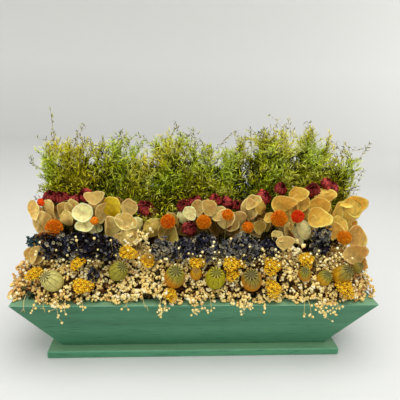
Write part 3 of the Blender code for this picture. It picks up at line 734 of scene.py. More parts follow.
def add_wisps(mass, middle_x, half):
    """A few hair-thin curved shoots that stand above the hedge, with sparse small needles."""
    dice = mass.dice
    for _ in range(WISPS):
        x = np.clip(middle_x + dice.uniform(-1, 1) * half, *FERN_ENDS)
        rise = fern_top(x)
        top = min(rise + dice.uniform(0, 26) * dice.uniform(0.3, 1), WISP_TOP)
        y = FERN_MIDDLE_Y + dice.uniform(-9, 9)
        side = dice.normal(0, 12)
        route = arc((x - side, y, rise - 60), (x - side, y, rise), (x + side, y, top), 11)
        mass.stem(route, (0.3, 0.16), 0.6, sides=3)
        spots = route[5:]
        leaving = np.array([1, 0.4, 1]) * dice.normal(0, 1, (len(spots), 3))
        grow_sparse(mass, spots, leaving + (0.3 * np.sign(side), 0, 0.6), 0.4, (3, 7))


def add_sprigs(mass, middle_x):
    """Sparse sprigs that lean out of the hedge, those of the table that are nearest to this bunch."""
    dice = mass.dice
    for foot, tip, tone in SPRIGS:
        if abs(np.clip(foot[0], *FERN_ENDS) - middle_x) > FERN_SPACING / 2 + 1:
            continue
        middle = (np.array(foot) + 2 * np.array(tip)) / 3 + (0, 0, (foot[2] - tip[2]) / 3)
        route = arc(foot, middle, tip, 10)
        mass.stem(route, (0.5, 0.2), tone, sides=3)
        spots = route[3:]
        grow_sparse(mass, spots, spots - route[2:-1] + dice.normal(0, 3, (len(spots), 3)), tone, (4, 8))


# ---- small round flowers

# Layers of a head from the inside: share of its radius, and how far apart its bracts or cups are
GLOBE_LAYERS = ((0.78, 1.5), (0.88, 1.35), (0.97, 1.3))
STATICE_LAYERS = ((0.66, 7.0), (0.85, 5.8), (1.02, 5.3), (1.15, 8.0))
STATICE_LUMPS = 9


def dome(dice, centre, radius, spacing, cover):
    """Points and outward directions spaced over a ball, down to the share cover of its height."""
    count = int(4 * math.pi * cover * (radius / spacing) ** 2 / 0.85)
    order = np.arange(count) + 0.5
    height = 1 - 2 * cover * order / count
    out = polar(np.sqrt(1 - height**2), GOLDEN_TURN * order, height)
    out = unit(out + dice.normal(0, 0.06, (count, 3)))
    return centre + out * radius, out


def add_globes(mass, heads):
    """Globe amaranth: balls of pointed bracts, row over row."""
    dice = mass.dice
    for *centre, radius in heads:
        scarlet = SCARLET.get(centre[0], ORANGE)
        core = dome(dice, centre, radius * 0.7, 2.4, 1.0)[0]
        mass.copies(CORE, core, core - centre, 2.3, scarlet, smooth=True)
        for share, spacing in GLOBE_LAYERS:
            spots, out = dome(dice, centre, radius * share, spacing, 0.97)
            count = len(spots)
            pointing = unit(out + (0, 0, 0.2) + dice.normal(0, 0.5, (count, 3)))
            length = radius * 0.24 * dice.uniform(0.7, 1.3, count)
            sizes = np.stack([spacing * dice.uniform(1.2, 2.0, count), length, length], 1)
            mass.copies(SCALE, spots, pointing, sizes, scarlet + dice.normal(0, 0.2, count))
    return within(heads, (0, 0, 0.8))


def add_statice(mass, heads):
    """Statice: crowded combs of crisp, scalloped little cups over each head."""
    dice = mass.dice
    for *centre, radius in heads:
        x = centre[0]
        lumps = unit(dice.normal(0, 1, (STATICE_LUMPS, 3)))
        spread, pale = (0.3, 3) if x < STATICE_GREY_X else (0.6, 1.9)
        shades = dice.uniform(0, 1, STATICE_LUMPS) ** 2 * spread
        for share, spacing in STATICE_LAYERS:
            spots, out = dome(dice, centre, radius * share, spacing, 0.8)
            near = (out @ lumps.T + dice.normal(0, 0.08, (len(spots), STATICE_LUMPS))).argmax(1)
            swell = (out * lumps[near]).sum(1, keepdims=True) - 0.8
            spots = spots + out * (0.7 * radius * swell + dice.normal(0, 0.09 * radius, (len(spots), 1)))
            size = dice.uniform(1.8, 3.6, (len(spots), 1)) * dice.uniform(0.55, 1.25, (len(spots), 3))
            facing = unit(out + dice.normal(0, 0.8, out.shape))
            # painted shade: the two inner layers are a quarter of a tone darker
            tones = shades[near] + 0.85 * dice.uniform(0, 1, len(spots)) ** pale - 0.25 * (share < 0.9)
            tones = tones.clip(0, 0.8) if x > STATICE_TEAL_X else 0.9 + 0.1 * tones
            mass.copies(CUP, spots, facing, size, tones)
    return within(heads, (0, 0, 0.5))


def add_yarrow(mass, heads):
    """Yarrow: flat-topped clusters of tiny golden heads, each on its own short stalk."""
    dice = mass.dice
    lean, side, other = np.array([(0, -0.5, 0.87), (1, 0, 0), (0, 0.87, 0.5)])
    for *centre, radius in heads:
        count = int(1.9 * radius**2)
        order = (np.arange(count) + 0.5) / count
        turn = GOLDEN_TURN * np.arange(count)
        outline = 1 + 0.18 * np.sin(2 * turn + centre[0]) + 0.14 * np.sin(3 * turn + centre[1])
        spread = radius * 1.18 * np.sqrt(order) * outline
        flat = spread[:, None] * (np.cos(turn)[:, None] * side + np.sin(turn)[:, None] * other)
        lumps = 1.6 * np.sin(flat[:, 0] * 0.8 + centre[0]) * np.sin(flat[:, 2] * 1.3)
        crown = radius * 0.5 * (1 - order) + lumps + dice.normal(0, 0.8, count)
        spots = centre + flat + lean * crown[:, None]
        fork = centre - lean * radius * 0.7
        size = dice.uniform(0.95, 1.5, (count, 1))
        # painted light and shade: tiny heads on raised lumps are paler, those in the dips darker
        tones = 0.5 + 0.22 * lumps + dice.normal(0, 0.24, count)
        facing = unit(spots - fork + dice.normal(0, 3, spots.shape))
        mass.copies(BLOOM, spots, facing, size, tones, smooth=True)
        mass.hairs(fork, spots, 0.5, dice.uniform(0, 1, count))
    return within(heads, lean * 0.7)


# ---- rosebuds

# A bud's layers from the heart out: share of its radius, petals, and how far they close over the top
ROSE_LAYERS = [(0.45, 3, 0.9), (0.65, 4, 0.88), (0.82, 5, 0.84), (0.94, 6, 0.8), (1.04, 6, 0.74)]
PETAL_ROWS, PETAL_COLUMNS, SEPALS = 7, 8, 5
PETAL_DARK, PETAL_LIGHT = srgb(80, 6, 14), srgb(240, 92, 84)


def add_rosebuds(mass, heads):
    """Dried rosebuds: crinkled petals wrapped in layers, in green sepals. Those in front are darker."""
    dice = mass.dice
    for *centre, radius in heads:
        axis = unit(np.array([dice.normal(0, 0.4), -0.75 + dice.normal(0, 0.3), 0.8]))
        turn = turn_to(axis, dice.uniform(0, 6))
        bright = dice.uniform(0.75, 1.2) * (0.65 if centre[1] < 0 else 1)
        for share, petals, close in ROSE_LAYERS:
            begin = dice.uniform(0, 6)
            for index in range(petals):
                start = begin + 2 * math.pi * index / petals + dice.normal(0, 0.25)
                size = radius * share * dice.uniform(0.92, 1.08)
                add_petal(mass, centre, turn, size, start, close + dice.normal(0, 0.03), bright)
        heart = centre + turn @ np.array([0, 0, -radius * 0.8])
        out = polar(1, 1.257 * np.arange(SEPALS), 0.5) @ turn.T
        mass.copies(SCALE, heart, out, radius * np.array([0.4, 0.9, 0.9]), 0.4, slot=STEM_SLOT)
    return within(heads, (0, -0.5, 0.6))


def add_petal(mass, centre, turn, radius, start, close, bright):
    """One cupped, crumpled petal of a bud, with a rolled edge."""
    shares = np.linspace(0, 1, PETAL_ROWS), np.linspace(-1, 1, PETAL_COLUMNS)
    up, across = np.meshgrid(*shares, indexing="ij")
    phase = mass.dice.uniform(0, 6, 4)
    around = start + across * 0.72 * np.sin(0.25 + 1.2 * up)
    crease = 0.07 * np.sin(7 * across + phase[0]) * up + 0.07 * np.sin(11 * across + 6 * up + phase[1])
    crease = crease + 0.06 * np.sin(9 * up + 3 * across + phase[2])
    bulge = np.sin(math.pi * (0.1 + close * up)) ** 0.8
    curl = 0.2 * np.clip(up - 0.7, 0, 1) / 0.3 * (0.4 + 0.6 * across**2)
    out = radius * (bulge + crease + curl + 0.09 * across)
    height = radius * (-0.92 + (1.75 + 0.5 * (close - 0.72)) * up - 0.35 * across**2 * up)
    height = height + radius * 0.13 * np.sin(5 * across + phase[3]) * up
    # painted light and shade: ridges of the creases are paler and their hollows darker; the petal also
    # pales towards its tip and edges
    share = (up**3 * 0.45 + 0.4 * np.abs(across) ** 3 * up + 3.6 * crease).clip(0, 1).reshape(-1, 1)
    tint = (PETAL_DARK + (PETAL_LIGHT - PETAL_DARK) * share) * bright
    points = centre + polar(out, around, height) @ turn.T
    mass.add(points, grid_faces(PETAL_ROWS, PETAL_COLUMNS), up.ravel(), (across.ravel() + 1) / 2,
             tint.clip(0, 1), smooth=True)


# ---- honesty

DISC_RINGS = (0.0, 0.35, 0.63, 0.85, 0.92, 1.0)  # shares of a disc's radius
DISC_SECTORS, DISC_THICKNESS = 32, 0.3
RIM_FROM, RIM_FADE = 0.85, 0.07  # the rim is paler
FOLDS, FOLD_CHANCES = (0.1, 0.5, 0.95), (0.35, 0.35, 0.3)
SIDES, SIDE_CHANCES = (-1, 1), (0.3, 0.7)  # discs are more often cupped and folded to the front
COMPANION_SEED, COMPANION_TRIES = 7, 16
LUNARIA_END = 230  # the farthest that a companion's middle goes along X
LARGE_DISC = 700  # a disc whose width times height is more has two companions
DISC_GAP = 2.2  # what a companion keeps from the others


def companions(discs):
    """Each disc with a roll, then up to two more for it, half hidden behind it and clear of the rest."""
    dice = np.random.default_rng(COMPANION_SEED)
    found = [(*disc, dice.normal(0, 22)) for disc in discs]
    for x, y, z, width, height, turn, lean, colour in discs:
        for _ in range(0 if colour == "olive" else 2 if width * height > LARGE_DISC else 1):
            for _ in range(COMPANION_TRIES):
                side = dice.choice(SIDES) * dice.uniform(0.2, 0.6) * width
                share = dice.uniform(0.75, 1.05)
                disc = (
                    np.clip(x + side, -LUNARIA_END, LUNARIA_END), y + dice.uniform(3, 14),
                    z + dice.uniform(-0.6, 0.4) * height,
                    width * share, height * share * dice.uniform(0.9, 1.2),
                    turn + dice.normal(0, 30), lean + dice.normal(0, 22), colour, dice.uniform(-60, 60),
                )
                if hides_head(disc) or any(cuts(disc, other) or cuts(other, disc) for other in found):
                    continue
                found.append(disc)
                break
    return found


def hides_head(disc):
    """Whether a disc would stand in front of a rosebud or a globe, as seen from a little above."""
    for x, y, z, radius in ROSEBUDS + GLOBES:
        drop = 0.3 * (y - disc[1])
        across = (disc[0] - x) / (disc[3] / 2 + 0.6 * radius)
        up = (disc[2] - drop - z) / (disc[4] / 2 + 0.6 * radius)
        if disc[1] < y and math.hypot(across, up) < 1:
            return True
    return False


def disc_matrix(disc):
    """What turns a disc that faces -Y: its turn about Z, its lean about X and its roll."""
    angles = zip((disc[5], -disc[6], disc[8]), "ZXY")
    turn, lean, roll = (Matrix.Rotation(math.radians(angle), 3, axis) for angle, axis in angles)
    return np.array(turn @ lean @ roll)


def cuts(disc, other):
    """Whether one disc's rim comes through the other or close to it, with both taken as flat."""
    turns = np.arange(12) * math.pi / 6
    rim = np.stack([0.5 * disc[3] * np.cos(turns), 0 * turns, 0.5 * disc[4] * np.sin(turns)], 1)
    local = (rim @ disc_matrix(disc).T + disc[:3] - np.array(other[:3])) @ disc_matrix(other)
    inside = (2 * local[:, 0] / other[3]) ** 2 + (2 * local[:, 2] / other[4]) ** 2 < 1.1
    beyond = local[inside, 1]
    return len(beyond) > 0 and beyond.min() < DISC_GAP and beyond.max() > -DISC_GAP


def add_lunaria(mass, discs):
    """Honesty: thin papery discs on wiry stalks."""
    foot = foot_of(discs, "lunaria")
    fork = foot + 0.55 * (np.mean([disc[:3] for disc in discs], axis=0) - foot)
    mass.stem(arc(foot, (foot + fork) / 2 + (0, 2, 0), fork, 5), (1.3, 0.9), 0.5)
    cells = math.ceil(math.sqrt(len(discs)))
    for index, disc in enumerate(discs):
        base = add_disc(mass, disc, (index % cells, index // cells, cells))
        route = arc(fork, (fork + base) / 2 + (0, 3, 4), base, 6)
        mass.stem(route, (0.6, 0.35), mass.dice.uniform(0.3, 0.9), sides=3)


def add_disc(mass, disc, cell):
    """One cupped papery disc, two faces thick. Returns the point where its stalk joins.

    cell is its column, its row and their number on the OFBake map.
    """
    dice = mass.dice
    width, height, colour = disc[3], disc[4], disc[7]
    out, around = polar_grid(DISC_RINGS, DISC_SECTORS)
    phase = dice.uniform(0, 6, 7)
    edge = 1 + 0.03 * np.sin(3 * around + phase[0]) + 0.015 * np.sin(7 * around + phase[1])
    u = out * edge * np.cos(around) * (1 + 0.1 * np.sin(around))
    tips = np.clip(-np.sin(around), 0, 1) ** 10 + 0.8 * np.clip(np.sin(around), 0, 1) ** 14
    v = out * edge * np.sin(around) * (1 + 0.16 * tips)
    depth = bent(dice, u, v, colour in FLAT_COLOURS)
    depth = depth + out**2 * (0.07 * np.sin(3 * around + phase[2]) + 0.03 * np.sin(5 * around + phase[3]))
    depth = depth + 0.04 * np.sin(5 * u + phase[4]) * np.sin(4 * v + phase[5])
    vein = dice.normal(0, 1, DISC_SECTORS) * out
    depth = depth + 0.022 * vein
    local = np.stack([0.5 * width * u, (width + height) / 4 * depth, 0.5 * height * v], 2)
    matrix = disc_matrix(disc)
    front = local.reshape(-1, 3) @ matrix.T + disc[:3]
    back = front + matrix @ np.array([0, DISC_THICKNESS, 0])
    base = srgb(*DISC_COLOURS[colour]) * dice.uniform(0.74, 1.02)
    tint = disc_tint(base, u, v, vein, phase, np.clip((out - RIM_FROM) / RIM_FADE, 0, 1))
    column, row, cells = cell
    across = (column + 0.5 + 0.46 * out * np.cos(around)).ravel() / cells
    up = (row + 0.5 + 0.46 * out * np.sin(around)).ravel() / cells
    # painted shade: the back face is a little darker than the front
    mass.add(np.vstack([front, back]), disc_faces(), np.tile(across, 2), np.tile(up, 2),
             np.vstack([tint, tint * 0.92]), smooth=True)
    return front[-DISC_SECTORS // 4]


def bent(dice, u, v, flat):
    """How far the points of a disc stand off its plane, as it is cupped, folded and curled."""
    cup = dice.uniform(0.1, 0.5) * dice.choice(SIDES, p=SIDE_CHANCES)
    fold = dice.choice(FOLDS, p=FOLD_CHANCES) * dice.choice(SIDES, p=SIDE_CHANCES)
    if flat:
        fold *= 0.15
    lean = dice.normal(0, 0.6)
    crossing = u * math.cos(lean) + v * math.sin(lean)
    curl = dice.uniform(0, 0.9) * (not flat)
    depth = -cup * (u**2 + v**2) - fold * np.abs(crossing) ** 1.3 * (1 + 0.4 * np.sign(crossing))
    return depth - curl * np.clip(crossing, 0, 1) ** 2


def disc_tint(base, u, v, vein, phase, rim):
    """Blotched paper, stained where the seeds were, darker along the veins and paler on the rim."""
    blotch = np.sin(7 * u + phase[6]) * np.sin(6 * v - 3 * u + phase[0])
    blotch = blotch + 0.6 * np.sin(13 * v + 5 * u + phase[2])
    stain = np.clip(0.7 - np.hypot(u - 0.2 * np.sin(phase[3]), v + 0.3), 0, 1)
    shade = (1.0 + 0.08 * blotch - 0.3 * stain - 0.07 * np.abs(vein))[..., None]
    tint = (base * shade * np.array([1.0, 0.97, 0.88])).clip(0, 0.95)
    pale = np.minimum(base * 1.3 + 0.06, 0.97)
    return (tint + (pale - tint) * 0.7 * rim[..., None]).reshape(-1, 3)


def disc_faces():
    """The front of a disc, its back, and the rim between them."""
    front = grid_faces(len(DISC_RINGS), DISC_SECTORS, closed=True, pole=True)
    shell = len(DISC_RINGS) * DISC_SECTORS
    here = shell - DISC_SECTORS + np.arange(DISC_SECTORS)
    after = np.roll(here, -1)
    rim = triangles((here, after, shell + after), (here, shell + after, shell + here))
    return np.vstack([front, front[:, ::-1] + shell, rim])


# ---- poppy pods

POD_RIBS, POD_ROWS, POD_COLUMNS = 11, 18, 77
CROWN_RINGS = np.array([0, 0.3, 0.6, 0.85, 1, 0.55])  # the last is underneath
CROWN_COLUMNS = 6 * POD_RIBS


def add_pods(mass, pods):
    """Poppy pods: ribbed capsules with a rayed crown, leaning forward. Returns where their stems join."""
    ends = []
    forward = math.radians(POD_FORWARD_LEAN)
    for x, y, z, radius, lean, crown, foot in pods:
        axis = unit(np.array([math.sin(math.radians(lean)), -math.sin(forward), math.cos(forward)]))
        turn = turn_to(axis, mass.dice.uniform(0, 6))
        centre = np.array([x, y, z], float)
        add_capsule(mass, centre, turn, radius, srgb(*POD_COLOURS[crown]), srgb(*POD_COLOURS[foot]))
        add_crown(mass, centre, turn, radius, srgb(*POD_COLOURS[crown]))
        ends.append(centre - axis * radius)
    return ends


def add_capsule(mass, centre, turn, radius, top, bottom):
    """The pod's smooth barrel, with hair-fine dark lines that run a little way down from the crown."""
    up, around = polar_grid(np.linspace(0, 1, POD_ROWS), POD_COLUMNS)
    angle = -math.pi / 2 + math.pi * up * 0.92
    rib = np.abs(np.sin(POD_RIBS * around / 2))
    swell = np.cos(angle) ** 0.72 * (1 + 0.03 * rib * np.sin(math.pi * up) - 0.01)
    points = polar(radius * swell * (0.96 + 0.06 * up), around, radius * 1.14 * np.sin(angle))
    blotch = 0.5 + 0.5 * np.sin(2 * around + centre[0]) * np.sin(3 * up + 0.4)
    share = np.clip((up - 0.42 - 0.34 * blotch) / 0.26, 0, 1)[..., None]
    lines = (1 - rib) ** 8 * np.clip((up - 0.35) / 0.4, 0, 1)
    fine = (0.5 + 0.5 * np.sin(2 * POD_RIBS * around)) ** 4 * np.clip((up - 0.62) / 0.15, 0, 1)
    shade = 1 - 0.5 * lines - 0.35 * fine - 0.14 * blotch * (1 - up)
    tint = (bottom + (top - bottom) * share) * shade[..., None]
    add_round(mass, centre + points @ turn.T, up, around, up.ravel() * 0.7, tint)


def add_crown(mass, centre, turn, radius, colour):
    """The cap over the pod: a dark star with a pale raised ray along each lobe, closed underneath."""
    out, around = polar_grid(CROWN_RINGS, CROWN_COLUMNS)
    under = np.arange(len(CROWN_RINGS)) == len(CROWN_RINGS) - 1
    ray = np.abs(np.cos(POD_RIBS * around / 2)) ** 3
    tall = radius * np.where(under[:, None], 0.96, 1.2 + 0.07 * ray * out - 0.1 * out**2)
    points = polar(radius * 0.76 * (0.7 + 0.3 * ray) * out, around, tall)
    dark, light = colour * 0.2, np.minimum(colour * 1.3 + 0.04, 0.9)
    share = np.clip(ray**2 * (0.15 + 0.85 * out), 0, 1)[..., None]
    tint = dark + (light - dark) * share
    add_round(mass, centre + points @ turn.T, out, around, 0.75 + 0.2 * out.ravel(), tint)


def add_round(mass, points, shares, around, up, tint):
    """Takes in a surface made on a polar grid."""
    faces = grid_faces(*shares.shape, closed=True, pole=True)
    mass.add(points, faces, (around / (2 * math.pi)).ravel(), up, tint.reshape(-1, 3), smooth=True)


# ---- gypsophila

HEADS = [head[:4] for head in YARROW + PODS + [STATICE_SPRIG]]  # those that stand in the filler
FRONT_SPACING, BACK_SPACING, SPRAY_TRIES = 10.0, 11.2, 6000
SLOPE_STEP = 2.0  # for measuring the slope of the filler's top
SPRAY_BLOOMS, CLUMP_BLOOMS = 38, 7  # blooms of a spray of usual size, and of each clump in it
STALK_RADII = (0.6, 0.4)
FILLER_BACK = 95  # the farthest that a bloom goes to the back
DENSE_X, DENSE_WIDTH, END_X = -80, 22, 200  # sprays are fuller round the first, and beyond the last
PEARL_SHARE = 0.05  # of the blooms, large and white

# The stretch of rim that each gypsophila bunch fills: lowest and highest x, then y
FILLER_ROOMS = {
    "gypsophila_bunch_1": (-260, -155, -95, 0), "gypsophila_bunch_2": (-155, -15, -95, -15),
    "gypsophila_bunch_3": (-15, 102, -95, -15), "gypsophila_bunch_4": (102, 260, -95, 0),
    "gypsophila_bunch_5": (-260, 0, 0, 95), "gypsophila_bunch_6": (0, 260, 0, 95),
}

# Sprigs over the front edge: x, the height of their end, and half the number of blooms they carry
TRAILING = [
    (-225, 92, 0), (-215, 96, 3), (-200, 91, 0), (-183, 82, 3), (-175, 88, 1), (-150, 98, 2),
    (-98, 97, 1), (-72, 97, 0), (-54, 90, 6), (-46, 95, 4), (-6, 88, 6), (2, 95, 3), (14, 93, 1),
    (58, 92, 4), (66, 96, 2), (87, 93, 2), (139, 82, 1), (150, 80, 2), (160, 86, 4), (169, 82, 8),
    (178, 86, 5), (187, 95, 2),
]

# Forks of single sprays up among the honesty discs
HIGH_SPRAYS = [
    (-90, -24, 172), (-80, -26, 164), (-74, -24, 174), (-98, -30, 162), (92, -38, 155), (132, -36, 158),
    (142, -34, 164),
]


def front_edge(x):
    """The filler's front outline: inside the rim, farther back at both ends, over it in places."""
    x = np.asarray(x)
    bulge = sum(np.exp(-(((x - place) / 13) ** 2)) for place in (-183, -50, 0, 62, 172))
    back = np.where(x > 0, 13, 9) * np.clip((np.abs(x) - 205) / 30, 0, 1)
    return -77 + back - 8 * bulge + 2 * np.sin(x / 13) + 2 * np.sin(x / 5.3)


def depth_inside(x, y):
    """0 at the outline of the filler, 1 where it stops rising: wide in front, narrow at ends and back."""
    front = (y - front_edge(x)) / 60
    back = (88 - y) / 34
    ends = np.minimum((257 + np.asarray(x)) / 28, (253 - np.asarray(x)) / 25)
    return np.clip(np.minimum(np.minimum(front, back), ends), 0, 1)


def filler_top(x, y):
    rise = np.where(np.asarray(y) < 10, 48, 40)
    return 102 + rise * np.sin(depth_inside(x, y) * math.pi / 2)


def spaced(dice, box, spacing):
    """Points strewn over a box of x and y where filler grows, at least a spacing apart."""
    found = np.empty((0, 2))
    for spot in dice.uniform((box[0], box[2]), (box[1], box[3]), (SPRAY_TRIES, 2)):
        if is_open(*spot) and (not len(found) or ((found - spot) ** 2).sum(1).min() > spacing**2):
            found = np.vstack([found, spot])
    return found


def is_open(x, y):
    """Where low filler grows: the front slope, the ends and the back rim, clear of the heads there."""
    depth = depth_inside(x, y)
    if depth <= 0.02:
        return False
    if depth >= 1:
        between = all(abs(x - head[0]) > head[3] + 4 for head in STATICE)
        at_end = abs(x) > 224 and y < 14
        if not (-36 < y < (-16 if between else -30) or at_end):
            return False
    spot = (x, y, filler_top(x, y))
    return all(math.dist(spot, head[:3]) >= head[3] + 3 for head in HEADS)


def add_gypsophila(node, box, materials):
    """Gypsophila: sprays of pea-sized blooms on hair-fine stalks, over litter painted dark as shade."""
    mass = Mass(node + "_sprays")
    low, high = room_of(node)
    in_front = low[1] + high[1] < 0
    foot_x, foot_y = END_LEAN * (low[0] + high[0]) / 2, -FRINGE_Y if in_front else FRINGE_Y
    foot = np.array([foot_x, foot_y, FRINGE_FOOT_Z])
    for x, y in spaced(mass.dice, box, FRONT_SPACING if in_front else BACK_SPACING):
        fork = add_low_spray(mass, x, y)
        mass.stem(arc(foot, (fork + foot) / 2 + (0, 0, 6), fork, 4), STALK_RADII, 0.4, sides=3)
    add_shade_litter(mass, box)
    if in_front:
        for fork in (np.array(spray, float) for spray in HIGH_SPRAYS if box[0] <= spray[0] < box[1]):
            add_spray(mass, fork, unit(np.array([0, -0.6, 0.8])), 7, 0.75, 22)
            mass.stem(arc(foot, (fork + foot) / 2, fork, 4), STALK_RADII, 0.4, sides=3)
        add_trailing(mass, box)
        add_strays(mass, box)
    mass.piece(materials, "gypsophila", node)


def add_low_spray(mass, x, y):
    """A spray that leans out of the filler's slope, tan at the ends of the box. Returns its fork."""
    dice = mass.dice
    slope = np.array([
        filler_top(x - SLOPE_STEP, y) - filler_top(x + SLOPE_STEP, y),
        filler_top(x, y - SLOPE_STEP) - filler_top(x, y + SLOPE_STEP),
        2 * SLOPE_STEP,
    ])
    lean = unit(slope + dice.normal(0, 0.5, 3))
    reach = dice.uniform(6, 11)
    fork = np.array([x, y, filler_top(x, y) + dice.normal(0, 3.2)]) - lean * reach
    fork[2] = max(fork[2], RIM_Z + 3)
    fullness = 1 + 0.9 * math.exp(-(((x - DENSE_X) / DENSE_WIDTH) ** 2)) + 0.3 * (abs(x) > END_X)
    tone = 0.6 - 0.34 * np.clip((abs(x) - 165) / 70, 0, 1)
    add_spray(mass, fork, lean, reach, tone, int(fullness * SPRAY_BLOOMS * reach / 8.5))
    return fork


def add_spray(mass, fork, lean, reach, tone, count):
    """A dome of small clumps of blooms round a fork, each clump on a hair, each bloom on a finer one."""
    dice = mass.dice
    clumps = max(count // CLUMP_BLOOMS, 2)
    order = (np.arange(clumps) + 0.5) / clumps
    height = 1 - 1.15 * order
    turns = GOLDEN_TURN * np.arange(clumps) + dice.uniform(0, 6)
    local = polar(np.sqrt(1 - height**2), turns, height)
    out = unit(local @ turn_to(lean, 0.0).T + dice.normal(0, 0.12, (clumps, 3)))
    knots = fork + out * reach * dice.uniform(0.6, 1.1, (clumps, 1))
    mass.hairs(fork, knots, 0.6, dice.uniform(0, 1, clumps))
    owner = np.repeat(np.arange(clumps), CLUMP_BLOOMS)
    total = len(owner)
    away = unit(dice.normal(0, 1, (total, 3)) + 0.9 * out[owner])
    spots = knots[owner] + away * dice.uniform(1.6, 4.4, (total, 1))
    spots[:, 2] = np.maximum(spots[:, 2], RIM_Z + 2)
    spots[:, 1] = np.minimum(spots[:, 1], FILLER_BACK)
    size = (0.84 + tone / 3) * dice.uniform(1.65, 2.45, (total, 1)) * dice.uniform(0.85, 1.1, (total, 3))
    tones = tone + dice.normal(0, 0.15, clumps)[owner] + dice.normal(0, 0.12, total)
    pearl = dice.uniform(0, 1, total) < PEARL_SHARE
    size[pearl] = dice.uniform(2.3, 2.8, (pearl.sum(), 1))
    tones[pearl] = 1.0
    mass.copies(BLOOM, spots, unit(away + dice.normal(0, 0.3, away.shape)), size, tones, smooth=True)
    mass.hairs(knots[owner], spots, 0.4, dice.uniform(0, 1, total))


def add_shade_litter(mass, box):
    """Dried leaves between the stems, painted dark as shade, which close the gaps under the blooms."""
    dice = mass.dice
    count = int((box[1] - box[0]) * (box[3] - box[2]) / 14)
    spots = dice.uniform((box[0], box[2]), (box[1], box[3]), (count, 2))
    spots = spots[(depth_inside(spots[:, 0], spots[:, 1]) > 0.16) & (np.abs(spots[:, 0]) < 240)]
    top = filler_top(spots[:, 0], spots[:, 1]) - dice.uniform(9, 20, len(spots))
    places = np.column_stack([spots, np.maximum(top, FOAM_TOP + 4)])
    facing = dice.normal(0, 1, (len(places), 3)) + (0, 0, 0.5)
    size = dice.uniform(6, 10, (len(places), 1)) * (0.7, 1, 1)
    mass.copies(SCALE, places, unit(facing), size, dice.uniform(0, 1, len(places)), slot=SHADE_LITTER_SLOT)


def add_trailing(mass, box):
    """Sprigs that hang over the front edge: blooms gathered along a bent stem, or a bare forked stem."""
    dice = mass.dice
    for x, low, blooms in TRAILING:
        if not box[0] <= x < box[1]:
            continue
        start = np.array([x + dice.uniform(-9, 9), -68, 107])
        end = np.array([x, -91, low + 3])
        route = arc(start, ((start[0] + x) / 2, -94, 109), end, 12)
        mass.stem(route, (0.4, 0.25), 0.75, sides=4)
        forks = max(2 * blooms, 2)
        joints = route[np.minimum((4 + 8 * dice.uniform(0, 1, forks) ** 0.7).astype(int), 11)]
        joints[:2] = route[-3]
        across, forward = dice.normal(0, 3.4, forks), dice.uniform(-5, 1, forks)
        tips = joints + np.stack([across, forward, dice.uniform(-5, 2, forks)], 1)
        bends = (joints + tips) / 2 + dice.normal(0, 0.8, tips.shape)
        tones = dice.uniform(0.5, 1.0, forks)
        mass.sticks(joints, bends, 0.26, tones)
        mass.sticks(bends, tips, 0.22, tones)
        shown = tips[:2 * blooms]
        size = dice.uniform(1.4, 2.1, (len(shown), 1)) * (1, 1, 1.1)
        facing = unit(dice.normal(0, 0.7, shown.shape) + (0, -0.7, -0.2))
        mass.copies(BLOOM, shown, facing, size, dice.uniform(0.5, 0.95, len(shown)), smooth=True)


def add_strays(mass, box):
    """Single pale blooms on long hairs, in front of the dark statice."""
    dice = mass.dice
    x = dice.uniform(box[0], box[1], int((box[1] - box[0]) / (5.0 if box[0] < STATICE_GREY_X else 2.6)))
    starts = np.stack(np.broadcast_arrays(x, -36.0, 135.0), 1)
    starts = starts[np.abs(starts[:, 0]) < 215]
    count = len(starts)
    across, forward = dice.normal(0, 5, count), dice.uniform(-26, -12, count)
    rise = np.stack([across, forward, 8 + np.abs(dice.normal(0, 15, count))], 1)
    mass.hairs(starts, starts + rise, 0.4, dice.uniform(0, 1, count))
    size, tones = dice.uniform(1.5, 2.4, (count, 1)), dice.uniform(0.6, 0.95, count)
    mass.copies(BLOOM, starts + rise, unit(rise), size, tones, smooth=True)


# ---- stage

FLOOR_RADIUS, FLOOR_BEND, WALL_HEIGHT = 2.2, 0.9, 2.0  # metres, as is all the stage
FLOOR_SINK = 0.0002  # keeps the floor clear of the base board's underside
FLOOR_SECTORS, FLOOR_RINGS = 96, 24

# Lights: place, size, power and the point they aim at
LIGHTS = {
    "overhead": ((0.12, -0.3, 1.7), 1.8, 22, (0, 0, 0.14)),
    "front": ((-0.9, -1.5, 1.1), 1.2, 8, (0, 0, 0.14)),
    "backdrop": ((1.7, 0.9, 1.1), 0.7, 9, (2.2, 2.5, 0.9)),
}

# The camera, a little above the flowers and left of their middle
LENS, SENSOR = 36, 36
CAMERA_PLACE = Vector((-44.5, -552.3, 384.8)) * MM
YAW, PITCH, ROLL = math.radians(4.66), math.radians(16.54), math.radians(2.27)


def add_stage():
    """A pale studio bowl: a floor that curves up into a low wall all round, far from the object."""
    rise = np.linspace(0, math.pi / 2, FLOOR_RINGS)
    radii = np.array([0, *(FLOOR_RADIUS + FLOOR_BEND * np.sin(rise)), FLOOR_RADIUS + FLOOR_BEND])
    heights = np.array([0, *(FLOOR_BEND * (1 - np.cos(rise))), WALL_HEIGHT]) - FLOOR_SINK
    around = 2 * math.pi * np.arange(FLOOR_SECTORS) / FLOOR_SECTORS
    points = polar(radii[:, None], around, heights[:, None])
    faces = grid_faces(len(radii), FLOOR_SECTORS, closed=True, pole=True)
    used, faces = np.unique(faces, return_inverse=True)
    mesh = bpy.data.meshes.new("floor")
    mesh.from_pydata(points[used].tolist(), [], faces.reshape(-1, 3).tolist())
    mesh.shade_smooth()
    floor = bpy.data.objects.new("floor", mesh)
    bpy.context.scene.collection.objects.link(floor)
    made, tree, shader = new_material("pale_floor", 0.6)
    place = new_node(tree, "TexCoord").outputs["Object"]
    height = new_node(tree, "SeparateXYZ", Vector=place).outputs["Z"]
    # painted light and shade: darker on the floor, paler up the wall
    shade = ramp(tree, height, [(0.0, (215, 215, 212)), (0.5, (230, 230, 227))])
    tree.links.new(shade, shader.inputs["Base Color"])
    mesh.materials.append(made)


